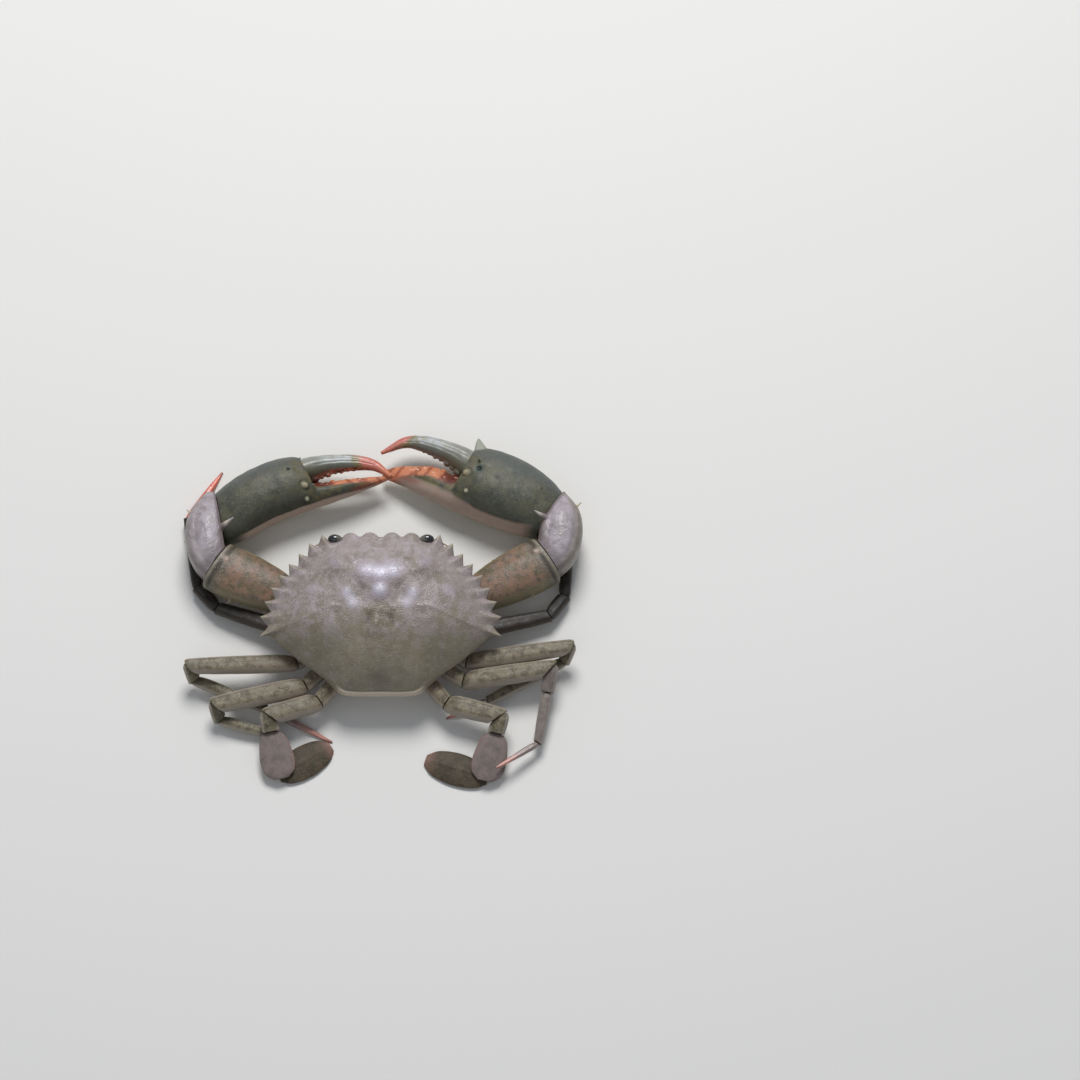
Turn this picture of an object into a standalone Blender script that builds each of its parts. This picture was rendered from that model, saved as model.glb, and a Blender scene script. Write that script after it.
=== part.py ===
"""Mud crab, life size: a still display model in faceted solids, one object for each named part.

The crab lies on its belly with both claws closed in a ring ahead of it and its legs folded back.
+Y is forward, +X is the crab's right, +Z is up, and the floor is at Z = 0.
Sizes in this file are in millimetres, and become metres as each mesh is stored.
"""

import math

import bmesh
import bpy
from mathutils import Matrix, Vector
from mathutils.bvhtree import BVHTree

MM = 0.001
GAP = 0.3  # kept between parts that touch
OBJECT_NAME = "mud_crab"

# Where the middle of the shell stands, so that the whole crab is centred on the origin
BODY_ACROSS = -0.257
BODY_FORWARD = -12.613
BODY_HEIGHT = 34.2
BODY_PITCH = math.radians(12.0)  # front edge up

# Shell, in its own plane: across, forward, up from its middle
DOME_HEIGHT = 21.0
SHELL_FLOOR = -3.0  # level where the shell meets the body under it
SHELL_DEPTH = 31.0  # how far the body reaches down from the rim
BODY_INSET = 0.84  # outline of the body under the shell against that of the shell
UNDER_ROUNDNESS = 1.72  # 1 is a straight slope from rim to belly, and 2 an ellipse
CORE_HEIGHT = 24.0  # a level that runs through the middle of the body
BELLY_REARWARD = 6.0  # how far behind the shell's middle the underside is deepest
SHELL_SEGMENTS = 64
SHELL_RINGS = 22
BODY_SEGMENTS = 48
SHELL_RIM = (
    (0.0, 49.5), (14.0, 49.8), (26.0, 48.6), (36.5, 45.6), (49.5, 33.5), (61.5, 19.0),
    (68.6, 4.0), (69.8, -11.0), (53.0, -27.8), (37.0, -39.5), (29.5, -46.6), (23.0, -51.2), (0.0, -52.0),
)
# Swellings of the dome: across, forward, radius, height
SHELL_SWELLINGS = (
    (0.0, 24.0, 16.0, 2.2), (21.0, 27.0, 12.0, 1.2), (0.0, -8.0, 11.0, 1.6), (36.0, 2.0, 20.0, 1.6),
    (13.0, 8.0, 8.0, -1.4), (0.0, 5.0, 6.0, -0.8), (0.0, -30.0, 16.0, 0.9),
)

SIDE_TEETH = 9
FIRST_TOOTH_KNOT = 3  # points of the rim outline where the first and last side teeth stand
LAST_TOOTH_KNOT = 7
SIDE_TOOTH_REACH = 5.6
LAST_SPINE_REACH = 7.0
SIDE_TOOTH_ROOT = 6.0
SIDE_TOOTH_WIDTH = 7.4
SIDE_TOOTH_THICKNESS = 2.1
SIDE_TOOTH_LEVEL = 0.5
SIDE_TOOTH_TIP_LEVEL = 0.9
TOOTH_FORWARD_LEAN = 0.45  # lean of the first tooth; the last stands straight out
FRONT_TEETH = (-19.5, -6.8, 6.8, 19.5)
FRONT_TOOTH_START = 42.0
FRONT_TOOTH_END = 52.8
FRONT_TOOTH_SPREAD = 1.04
FRONT_TOOTH_TIP_LEVEL = -0.6
FRONT_TOOTH_WIDTH = 8.0
FRONT_TOOTH_THICKNESS = 2.4
FRONT_TOOTH_TIP = 0.25
SPINE_TIP = 0.12  # width of a spine at its tip against its root

EYE_ACROSS = 29.0
EYE_FORWARD = 48.2
EYE_UP = 0.3
EYE_RADII = (4.4, 3.3, 3.0)
EYE_SIDES = 12
EYE_RINGS = 8
EYE_CLEARANCE = 0.1  # added to the gap, since the socket is faceted

# Walking legs: joints from the thorax outwards, across, forward and up from under the shell's middle
LEGS = {
    "leg_1_left": (
        (-38, 1, 13), (-62, -1, 12.5), (-104, 14.5, 8.5), (-116.5, 29, 6.8), (-123.5, 76, 6.2),
        (-103, 110.5, 0.4),
    ),
    "leg_1_right": (
        (38, 1, 13), (62, -2, 12.5), (105.5, 9, 9), (115.5, 23, 6.2), (118, 68, 5.2), (105.5, 99, 0.4),
    ),
    "leg_2_left": (
        (-36, -12, 13), (-53, -25.5, 15.5), (-120, -28.6, 18.5), (-117.5, -34, 8.5), (-72, -52.5, 5.4),
        (-30.5, -73, 0.4),
    ),
    "leg_2_right": (
        (36, -12, 13), (54, -24.5, 15.5), (118.5, -15.8, 18.5), (115, -21.5, 8.5), (67, -47, 5.4),
        (41, -57, 0.4),
    ),
    "leg_3_left": (
        (-33, -24.5, 13), (-47.5, -40.3, 14.5), (-103.5, -53.6, 15.5), (-101, -60.3, 7), (-73.5, -68, 5),
        (-69, -87, 0.4),
    ),
    "leg_3_right": (
        (33, -24.5, 13), (52, -37.5, 15.5), (107, -30, 18.5), (104.5, -44, 12), (98.5, -76.6, 8.6),
        (72.3, -94.7, 13),
    ),
}
SWIM_LEGS = {
    "swim_leg_left": (
        (-27, -35.5, 14), (-38.5, -51, 14.5), (-70, -61, 16.5), (-68.5, -70, 11.5), (-62.5, -96, 6.2),
        (-31.4, -76, 1.3),
    ),
    "swim_leg_right": (
        (27, -35.5, 14), (41.5, -52, 14.5), (75, -61.5, 16.5), (72.5, -71, 11.5), (66, -97.5, 6.2),
        (28.2, -85, 1.3),
    ),
}
# Half width and half thickness of each length of a leg, and how they swell along it
LEG_PARTS = ("coxa", "merus", "carpus", "propodus", "dactyl")
LEG_SIZES = {
    "leg_1": ((4.9, 4.8), (5.0, 3.9), (4.4, 3.5), (4.0, 3.1), (2.9, 2.2)),
    "leg_2": ((5.3, 4.8), (5.8, 4.5), (4.5, 3.7), (4.0, 2.9), (2.5, 1.9)),
    "leg_3": ((5.4, 4.8), (6.4, 4.7), (4.6, 3.7), (3.5, 2.9), (2.3, 1.9)),
    "swim_leg": ((5.4, 4.8), (6.5, 4.8), (5.8, 4.3), (10.8, 2.0), (10.6, 1.9)),
}
LEG_SWELL = {
    "coxa": ((0.0, 0.95), (0.5, 1.0), (1.0, 0.86)),
    "merus": ((0.0, 0.84), (0.22, 1.0), (0.65, 0.96), (1.0, 0.80)),
    "carpus": ((0.0, 0.90), (0.5, 1.0), (1.0, 0.90)),
    "propodus": ((0.0, 0.92), (0.4, 1.0), (1.0, 0.78)),
    "dactyl": ((0.0, 0.86), (0.3, 0.92), (0.7, 0.66), (1.0, 0.26)),
}
PADDLE_SWELL = {
    "propodus": ((0.0, 0.44), (0.15, 0.72), (0.4, 0.92), (0.65, 1.0), (0.88, 0.84), (1.0, 0.42)),
    "dactyl": ((0.0, 0.36), (0.12, 0.74), (0.35, 0.98), (0.6, 1.0), (0.86, 0.76), (1.0, 0.34)),
}
PADDLE_LEVEL = 4.1  # the paddle lies under this level, and the plate before it lies over it
PADDLE_MIDDLE = 2.1
PLATE_OVERRUNS = {"propodus": (2.0, 3.0), "dactyl": (1.6, 0.0)}
PLATE_EVENNESS = 0.55
PLATE_SIDES = 14
PLATE_RINGS = 10
LEG_SIDES = 10
LEG_RINGS = 8
ROOT_OVERRUN = 5.0
JOINT_OVERRUN = 0.8
STEEPEST_MITRE = 1.1

# How deep the flat face at each limb's root is let into the thorax
LEG_ROOT_DEPTH = 0.9
ARM_ROOT_DEPTH = 1.2
ANTENNA_ROOT_DEPTH = 0.25

# Claw arms: joints and the planes that part them; how the palm and fingers differ from the tables below
ARMS = {
    "claw_left": {
        "root": (-35, 19, 14), "hip": (-57, 17.5, 17.5), "elbow": (-104.4, 38.5, 20),
        "wrist": (-102.6, 69.5, 17),
        "elbow_faces": (-0.835, 0.55, 0.0), "wrist_faces": (0.984, 0.178, 0.0),
        "carpus": ((-100, 33.5, 20), (-108.2, 46, 20.5), (-110.8, 62, 20), (-107.5, 87.5, 17.5)),
        "palm_at": (-101, 69.4, 17.4), "hinge_at": (-49.5, 94.2, 17.4),
        "upper": 1.0, "belly": -4.6, "thick": 1.07, "gape": 0.0, "dip": -0.5, "length": 1.0, "reach": 1.0,
        "raise": -2.0, "hook": 3.0,
    },
    "claw_right": {
        "root": (35, 19, 14), "hip": (57, 18.0, 17.5), "elbow": (104.5, 42, 21),
        "wrist": (105.5, 72, 17),
        "elbow_faces": (0.837, 0.547, 0.0), "wrist_faces": (-0.87, 0.49, 0.0),
        "carpus": ((101, 37.5, 21), (110.6, 49, 21.5), (113.4, 65, 21), (111, 88, 18)),
        "palm_at": (105, 72.6, 16.6), "hinge_at": (52, 98.5, 16.6),
        "upper": 1.15, "belly": 2.0, "thick": 1.06, "gape": math.radians(19.5), "dip": -8.0, "length": 0.96,
        "reach": 1.03, "raise": 5.0, "hook": 8.0,
    },
}
ARM_BASE = ((7.6, 7.2), (8.4, 7.6), (8.6, 7.6))
ARM_MERUS = ((9.6, 8.6), (14.6, 11.4), (16.6, 12.4), (14.8, 12.2))
ARM_CARPUS = ((11.5, 10.5), (13.6, 13.4), (12.8, 13.4), (5.0, 6.0))
BASE_OVERRUNS = (7.0, 7.0)
MERUS_OVERRUNS = (6.0, 11.0)
BASE_SIDES = 12
BASE_RINGS = 7
# Along the palm from the wrist: lower edge, upper edge, half thickness
PALM = (
    (-9.0, -14.5, 11.5, 8.5), (2.0, -16.6, 17.0, 12.0), (14.0, -17.4, 21.4, 15.2), (30.0, -18.0, 24.0, 16.6),
    (48.0, -19.0, 22.8, 15.8), (60.0, -19.4, 17.0, 12.8), (68.0, -17.5, 12.5, 8.5),
)
POLLEX = (
    (40.0, -18.2, 3.0, 11.5), (56.0, -19.6, -0.8, 9.6), (68.0, -19.8, -3.4, 8.0), (80.0, -19.8, -5.2, 6.6),
    (92.0, -19.6, -9.0, 4.9), (102.0, -19.2, -12.8, 3.2), (111.0, -18.6, -16.6, 1.1),
)
DACTYL = (
    (54.0, 1.6, 17.6, 10.8), (64.0, 1.2, 16.9, 9.4), (74.0, 0.8, 14.0, 7.6), (84.0, -1.6, 9.8, 6.0),
    (94.0, -5.6, 4.2, 4.6), (103.0, -10.6, -3.6, 3.1), (110.0, -17.0, -14.8, 1.0),
)
POLLEX_RAISE = (0.0, 0.0, 0.4, 1.0, 1.0, 1.0, 0.6)  # shares of a claw's own raised biting edge
HOOK_START = 94.0
HOOK_SHORTENING = 0.3
BELLY_LEAN = 0.65
BELLY_POWER = 2.0
HINGE_ALONG = 61.0
HINGE_UP = 3.0
DACTYL_TIP_LIFT = 3.4  # the movable finger's tip crosses over the fixed one's
FINGER_TEETH = ((66.0, 3.4), (73.0, 3.0), (80.0, 2.7), (87.0, 2.3), (94.0, 1.9), (100.0, 1.5))
FINGER_TOOTH_HEIGHT = 1.7
FINGER_TOOTH_ROOT = 4.0
FINGER_TOOTH_FLATNESS = 0.9
FINGER_TOOTH_TIP = 0.45
WIDEST_FINGER_TOOTH = 3.0
ARM_SIDES = 16
ARM_RINGS = 11
FINGER_SIDES = 12

# Spines of the claw arms: where each starts inside its part and where it ends
ARM_SPINES = {
    "claw_left": {
        "merus": (
            ((-78, 38, 20), (-80.5, 46.5, 21)), ((-88, 41, 20), (-90, 50, 21)),
            ((-68, 33, 19), (-70.5, 40.5, 20)),
            ((-106, 30, 20), (-113.6, 24.6, 20.5)), ((-92, 20, 20), (-97.5, 12.4, 20.5)),
        ),
        "carpus": (
            ((-104, 59.5, 29), (-93.5, 65, 36.5)), ((-117, 70, 24), (-123.5, 74, 27)),
            ((-118, 52, 24), (-125, 53, 26)),
        ),
        "palm": (
            ((-57, 104, 23), (-52.0, 110.0, 28)), ((-60, 98, 27), (-56, 100, 34.0)),
            ((-95, 78, 25), (-97.5, 83, 31.5)),
        ),
    },
    "claw_right": {
        "merus": (
            ((78, 41, 20), (80.5, 49.5, 21)), ((88, 44, 20), (90, 53, 21)), ((68, 36, 19), (70.5, 43.5, 20)),
            ((103, 34, 20), (111.6, 27.6, 20.5)), ((92, 23, 20), (97.5, 15.4, 20.5)),
        ),
        "carpus": (
            ((107.5, 65.5, 29.5), (96.5, 69.5, 37)), ((119, 74, 24), (126, 79, 27)),
            ((121, 57, 24), (127, 59, 26)),
        ),
        "palm": (
            ((63, 104, 27), (61.0, 106, 35.0)), ((98, 83, 26), (101, 88, 32.5)),
        ),
    },
}
ARM_SPINE_WIDTH = 2.6
# Broad thin teeth on the palms: start, end, half width and half thickness
FINS = {"claw_left": (), "claw_right": (((63.1, 109.8, 24.6), (60.9, 124, 25.4), 5.2, 1.2),)}
FIN_SIDES = 8

# Plates under the body: (share of the span, across, half width), and spans forward of the middle
ABDOMEN_OUTLINE = ((0.0, 0.0, 15.0), (0.22, 0.0, 13.0), (0.5, 0.0, 9.0), (0.85, 0.0, 5.5), (1.0, 0.0, 3.2))
ABDOMEN_SPAN = (-44.0, 4.0)
ABDOMEN_FACES = (0.0, 0.5, 0.87)
ABDOMEN_THICKNESS = 2.6
MOUTHPART_OUTLINE = ((0.0, 6.4, 4.2), (0.35, 7.2, 6.0), (0.8, 7.2, 5.8), (1.0, 6.6, 4.0))
MOUTHPART_SPAN = (19.0, 52.0)
MOUTHPART_FACES = (0.0, -0.7, 0.71)
MOUTHPART_THICKNESS = 2.4
PLATE_AIM_HEIGHT = 10.0  # level at which the spans are given
PLATE_AIM_DISTANCE = 80.0
PLATE_CLEARANCE = 0.12  # added to the gap, since the plates follow a faceted body
PLATE_EDGE_THINNING = 0.35

ANTENNA = ((17.5, 34.5, 27.0), (20.5, 45.5, 32.0), (27.0, 50.5, 33.5), (35.0, 50.5, 33.0), (43.0, 46.5, 32.0))
ANTENNA_SIZES = ((2.0, 2.0), (1.6, 1.6), (0.9, 0.9), (0.55, 0.55), (0.4, 0.4))
ANTENNA_OVERRUN = 3.0
ANTENNA_SIDES = 6
ANTENNA_RINGS = 10

# Colour and roughness of each finish, sRGB from the photograph
FINISHES = {
    "shell": ((150, 138, 140), 0.32),
    "belly": ((196, 184, 160), 0.45),
    "eye": ((24, 24, 26), 0.12),
    "feeler": ((150, 98, 80), 0.45),
    "arm": ((126, 110, 98), 0.38),
    "palm": ((95, 100, 88), 0.34),
    "finger": ((178, 112, 88), 0.36),
    "leg": ((122, 118, 92), 0.42),
    "paddle": ((120, 108, 108), 0.42),
}


def clear_scene():
    for obj in list(bpy.data.objects):
        bpy.data.objects.remove(obj, do_unlink=True)


def new_collection(name):
    collection = bpy.data.collections.new(name)
    bpy.context.scene.collection.children.link(collection)
    return collection


def linear(channel):
    value = channel / 255.0
    return value / 12.92 if value <= 0.04045 else ((value + 0.055) / 1.055) ** 2.4


def make_material(name, finish):
    """A Principled material of one finish, with the name of the part that wears it."""
    colour, roughness = FINISHES[finish]
    material = bpy.data.materials.new(name)
    material.use_nodes = True
    shader = material.node_tree.nodes["Principled BSDF"]
    shader.inputs["Base Color"].default_value = tuple(linear(c) for c in colour) + (1.0,)
    shader.inputs["Roughness"].default_value = roughness
    shader.inputs["Metallic"].default_value = 0.0
    return material


def body_matrix():
    """From the shell's own plane to the room."""
    place = Matrix.Translation((BODY_ACROSS, BODY_FORWARD, BODY_HEIGHT))
    return place @ Matrix.Rotation(BODY_PITCH, 4, "X")


def in_room(point):
    """A point given from under the shell's middle, in the room."""
    return Vector(point) + Vector((BODY_ACROSS, BODY_FORWARD, 0.0))


def smooth_through(knots, t):
    """A smooth curve through (t, value) knots, whose values are numbers or vectors."""
    last = len(knots) - 1
    index = 0
    while index < last - 1 and t > knots[index + 1][0]:
        index += 1
    t0, p0 = knots[index]
    t1, p1 = knots[index + 1]
    span = t1 - t0
    before = knots[index - 1] if index > 0 else None
    after = knots[index + 2] if index + 2 <= last else None
    m0 = (p1 - before[1]) * (span / (t1 - before[0])) if before else p1 - p0
    m1 = (after[1] - p0) * (span / (after[0] - t0)) if after else p1 - p0
    x = (t - t0) / span
    return (p0 * (2 * x**3 - 3 * x**2 + 1) + m0 * (x**3 - 2 * x**2 + x)
            + p1 * (3 * x**2 - 2 * x**3) + m1 * (x**3 - x**2))


def knots_by_length(points):
    """Points as knots whose t runs from 0 to 1 with the distance along them."""
    vectors = [Vector(point) for point in points]
    lengths = [0.0]
    for a, b in zip(vectors, vectors[1:]):
        lengths.append(lengths[-1] + (b - a).length)
    return [(length / lengths[-1], vector) for length, vector in zip(lengths, vectors)]


RIM_KNOTS = knots_by_length(SHELL_RIM)


def rim_point(turn):
    """The shell's rim, from 0 at the front middle round the right side to 1 at the front again."""
    half = turn * 2.0
    if half <= 1.0:
        return smooth_through(RIM_KNOTS, half)
    point = smooth_through(RIM_KNOTS, 2.0 - half)
    return Vector((-point.x, point.y))


def dome_level(x, y, reach):
    """Height of the shell above its rim: reach is 0 in the middle and 1 at the rim."""
    level = DOME_HEIGHT * max(0.0, 1.0 - reach**2.2) ** 0.78
    fade = 1.0 - reach**6
    for across, forward, radius, height in SHELL_SWELLINGS:
        for side in {across, -across}:
            distance = ((x - side) ** 2 + (y - forward) ** 2) / radius**2
            level += height * fade * math.exp(-distance)
    return level


def under_level(reach):
    return -SHELL_DEPTH * max(0.0, 1.0 - reach**UNDER_ROUNDNESS) ** (1 / UNDER_ROUNDNESS)


def body_blob(inset, sides, rings):
    """The closed dome and underside in the shell's plane, from a UV sphere."""
    bm = bmesh.new()
    bmesh.ops.create_uvsphere(bm, u_segments=sides, v_segments=rings, radius=1.0)
    for vert in bm.verts:
        turn = (math.atan2(vert.co.x, vert.co.y) / math.tau) % 1.0
        reach = min(1.0, math.hypot(vert.co.x, vert.co.y))
        rim = rim_point(turn) * inset
        x = rim.x * reach
        y = rim.y * reach
        if vert.co.z > -0.001:
            z = dome_level(x, y, reach)
        else:
            z = under_level(reach)
            y -= BELLY_REARWARD * (1.0 - reach)
        vert.co = (x, y, z)
    bmesh.ops.recalc_face_normals(bm, faces=bm.faces)
    return bm


def cut(bm, point, normal):
    """Keeps the side that normal points to, and closes the cut flat."""
    geometry = bm.verts[:] + bm.edges[:] + bm.faces[:]
    bmesh.ops.bisect_plane(bm, geom=geometry, dist=0.0001, plane_co=point, plane_no=normal, clear_inner=True)
    bmesh.ops.holes_fill(bm, edges=[edge for edge in bm.edges if edge.is_boundary], sides=0)
    bmesh.ops.recalc_face_normals(bm, faces=bm.faces)


def cut_at_floor(bm):
    if min(vert.co.z for vert in bm.verts) < 0.0:
        cut(bm, (0, 0, 0), (0, 0, 1))


def tube(path, sizes, sides, rings):
    """A closed tube from a UV sphere: path(t) is its middle, sizes(t) its half width and thickness."""
    bm = bmesh.new()
    bmesh.ops.create_uvsphere(bm, u_segments=sides, v_segments=rings, radius=1.0)
    for vert in bm.verts:
        ring = round(math.acos(max(-1.0, min(1.0, vert.co.z))) / math.pi * rings)
        t = max(0.0, min(1.0, (ring - 1) / (rings - 2)))
        middle = path(t)
        ahead = (path(min(1.0, t + 0.01)) - path(max(0.0, t - 0.01))).normalized()
        across = Vector((0, 0, 1)).cross(ahead).normalized()
        up = ahead.cross(across)
        turn = math.atan2(vert.co.y, vert.co.x)
        width, thickness = sizes(t)
        if ring in (0, rings):
            width = thickness = 0.0
        vert.co = middle + across * (width * math.cos(turn)) + up * (thickness * math.sin(turn))
    bmesh.ops.recalc_face_normals(bm, faces=bm.faces)
    return bm


def cone(start, end, width, thickness, sides=5, flat=Vector((0, 0, 1)), tip=SPINE_TIP):
    """A tapered spine from start to end; width lies across flat and thickness along it."""
    start = Vector(start)
    axis = Vector(end) - start
    across = flat.cross(axis).normalized()
    up = axis.normalized().cross(across)
    bm = bmesh.new()
    bmesh.ops.create_cone(bm, cap_ends=True, segments=sides, radius1=1.0, radius2=tip, depth=1.0)
    for vert in bm.verts:
        along = vert.co.z + 0.5
        vert.co = start + axis * along + across * (vert.co.x * width) + up * (vert.co.y * thickness)
    bmesh.ops.recalc_face_normals(bm, faces=bm.faces)
    return bm


def mesh_from(bm, name):
    """Stores a shape made in millimetres as a mesh in metres."""
    bmesh.ops.scale(bm, vec=(MM, MM, MM), verts=bm.verts)
    mesh = bpy.data.meshes.new(name)
    bm.to_mesh(mesh)
    bm.free()
    return mesh


def keep_largest_surface(mesh):
    bm = bmesh.new()
    bm.from_mesh(mesh)
    left = set(bm.faces)
    shells = []
    while left:
        stack = [left.pop()]
        shell = []
        while stack:
            face = stack.pop()
            shell.append(face)
            for edge in face.edges:
                for other in edge.link_faces:
                    if other in left:
                        left.discard(other)
                        stack.append(other)
        shells.append(shell)
    shells.sort(key=lambda shell: sum(face.calc_area() for face in shell))
    for shell in shells[:-1]:
        bmesh.ops.delete(bm, geom=shell, context="FACES")
    bm.to_mesh(mesh)
    bm.free()


def boolean(obj, shapes, operation):
    """Joins closed shapes to an object, or takes them out of it, by one Boolean on a collection."""
    material = obj.data.materials[0]
    tools = new_collection(obj.name + "_tools")
    for number, bm in enumerate(shapes):
        name = f"{obj.name}_tool_{number}"
        tool = bpy.data.objects.new(name, mesh_from(bm, name))
        tool.hide_render = True
        tool.display_type = "WIRE"
        tools.objects.link(tool)
    modifier = obj.modifiers.new(operation.lower(), "BOOLEAN")
    modifier.operation = operation
    modifier.operand_type = "COLLECTION"
    modifier.collection = tools
    modifier.solver = "EXACT"
    seen = obj.evaluated_get(bpy.context.evaluated_depsgraph_get())
    mesh = bpy.data.meshes.new_from_object(seen)
    obj.modifiers.clear()
    obj.data = mesh
    for tool in list(tools.objects):
        bpy.data.objects.remove(tool, do_unlink=True)
    bpy.data.collections.remove(tools)
    keep_largest_surface(mesh)
    mesh.materials.clear()
    mesh.materials.append(material)


def add_part(collection, name, bm, finish, joined=()):
    """One named part, with the spines or teeth that grow from it joined on."""
    obj = bpy.data.objects.new(name, mesh_from(bm, name))
    collection.objects.link(obj)
    obj.data.materials.append(make_material(name, finish))
    if joined:
        boolean(obj, joined, "UNION")
    return obj


def side_teeth():
    """The nine teeth down each side of the shell, the last of them a longer spine."""
    shapes = []
    first = RIM_KNOTS[FIRST_TOOTH_KNOT][0]
    last = RIM_KNOTS[LAST_TOOTH_KNOT][0]
    for number in range(SIDE_TEETH):
        share = number / (SIDE_TEETH - 1)
        place = first + (last - first) * share
        root = smooth_through(RIM_KNOTS, place)
        ahead = smooth_through(RIM_KNOTS, place + 0.01)
        behind = smooth_through(RIM_KNOTS, place - 0.01)
        along = (ahead - behind).normalized()
        outward = Vector((-along.y, along.x))
        heading = (outward - along * (TOOTH_FORWARD_LEAN * (1.0 - share))).normalized()
        reach = LAST_SPINE_REACH if number == SIDE_TEETH - 1 else SIDE_TOOTH_REACH
        tip = root + heading * reach
        inner = root - outward * SIDE_TOOTH_ROOT
        for side in (1, -1):
            start = (inner.x * side, inner.y, SIDE_TOOTH_LEVEL)
            end = (tip.x * side, tip.y, SIDE_TOOTH_TIP_LEVEL)
            shapes.append(cone(start, end, SIDE_TOOTH_WIDTH, SIDE_TOOTH_THICKNESS, sides=4))
    return shapes


def front_teeth():
    """The four blunt lobes of the shell between the eyes."""
    shapes = []
    for across in FRONT_TEETH:
        start = (across, FRONT_TOOTH_START, 0.0)
        end = (across * FRONT_TOOTH_SPREAD, FRONT_TOOTH_END, FRONT_TOOTH_TIP_LEVEL)
        width = FRONT_TOOTH_WIDTH
        shapes.append(cone(start, end, width, FRONT_TOOTH_THICKNESS, sides=4, tip=FRONT_TOOTH_TIP))
    return shapes


def eye_shape(side, grown=0.0):
    bm = bmesh.new()
    bmesh.ops.create_uvsphere(bm, u_segments=EYE_SIDES, v_segments=EYE_RINGS, radius=1.0)
    bmesh.ops.scale(bm, vec=[radius + grown for radius in EYE_RADII], verts=bm.verts)
    bmesh.ops.translate(bm, vec=(EYE_ACROSS * side, EYE_FORWARD, EYE_UP), verts=bm.verts)
    return bm


def trim_below(obj, level):
    """Trims what joined teeth leave under a part's flat underside."""
    bm = bmesh.new()
    bm.from_mesh(obj.data)
    cut(bm, (0, 0, level), (0, 0, 1))
    bm.to_mesh(obj.data)
    bm.free()


def build_shell(parts):
    """The shell and its eyes, made level and then set at the body's pitch."""
    bm = body_blob(1.0, SHELL_SEGMENTS, SHELL_RINGS)
    cut(bm, (0, 0, SHELL_FLOOR), (0, 0, 1))
    shell = add_part(parts, "carapace", bm, "shell", side_teeth() + front_teeth())
    boolean(shell, [eye_shape(side, GAP + EYE_CLEARANCE) for side in (1, -1)], "DIFFERENCE")
    trim_below(shell, SHELL_FLOOR * MM)
    shell.data.transform(Matrix.Scale(MM, 4) @ body_matrix() @ Matrix.Scale(1 / MM, 4))
    for side, name in ((-1, "eye_left"), (1, "eye_right")):
        eye = eye_shape(side)
        bmesh.ops.transform(eye, matrix=body_matrix(), verts=eye.verts)
        add_part(parts, name, eye, "eye")


def root_face(surface, start):
    """Where a limb meets the thorax, near start, and the way the surface faces there."""
    inside = in_room((0.0, 0.0, CORE_HEIGHT)).lerp(start, 0.3)
    heading = (start - inside).normalized()
    point, normal, _, _ = surface.ray_cast(inside, heading)
    if normal.dot(heading) < 0:
        normal = -normal
    return point, normal


def straight(points, before, after):
    """A path through points that runs on past both ends."""
    vectors = [Vector(point) for point in points]
    first = (vectors[0] - vectors[1]).normalized() * before
    final = (vectors[-1] - vectors[-2]).normalized() * after
    vectors[0] = vectors[0] + first
    vectors[-1] = vectors[-1] + final
    knots = knots_by_length(vectors)
    return lambda t: smooth_through(knots, t)


def sizes_from(pairs):
    """Half width and half thickness along a part, evenly spaced."""
    count = len(pairs) - 1
    knots = [(number / count, Vector(pair)) for number, pair in enumerate(pairs)]
    return lambda t: tuple(smooth_through(knots, t))


def swell_sizes(size, swell):
    """A rounded length of a leg: its width and thickness swell together."""
    width, thickness = size
    knots = [(t, Vector((width * share, thickness * share))) for t, share in swell]
    return lambda t: tuple(smooth_through(knots, t))


def plate_sizes(size, swell):
    """A flat plate: its width swells, and its thickness stays nearly even."""
    width, thickness = size
    even = PLATE_EVENNESS
    knots = [(t, Vector((width * share, thickness * (even + (1.0 - even) * share)))) for t, share in swell]
    return lambda t: tuple(smooth_through(knots, t))


def mitre(before, joint, after):
    """The plane between two lengths that meet at a joint, and how far each runs on to reach it."""
    a = (joint - before).normalized()
    b = (after - joint).normalized()
    bend = math.acos(max(-1.0, min(1.0, a.dot(b))))
    return (a + b).normalized(), math.tan(min(STEEPEST_MITRE, bend / 2))


def leg_length(points, number, overruns, size, swell):
    """A plain length of a walking leg, long enough to be cut at both of its joints."""
    last = number == len(LEG_PARTS) - 1
    before = ROOT_OVERRUN if number == 0 else size[0] * overruns[number] + JOINT_OVERRUN
    after = 0.0 if last else size[0] * overruns[number + 1] + JOINT_OVERRUN
    path = straight(points[number:number + 2], before, after)
    return tube(path, swell_sizes(size, swell), LEG_SIDES, LEG_RINGS)


def leg_plate(points, part, size, swell):
    """One of the two flat plates that end a swimming leg."""
    start, end = (points[3], points[4]) if part == "propodus" else (points[4], points[5])
    before, after = PLATE_OVERRUNS[part]
    if part == "dactyl":
        start = Vector((start.x, start.y, PADDLE_MIDDLE))
    path = straight((start, end), before, after)
    return tube(path, plate_sizes(size, swell), PLATE_SIDES, PLATE_RINGS)


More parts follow.
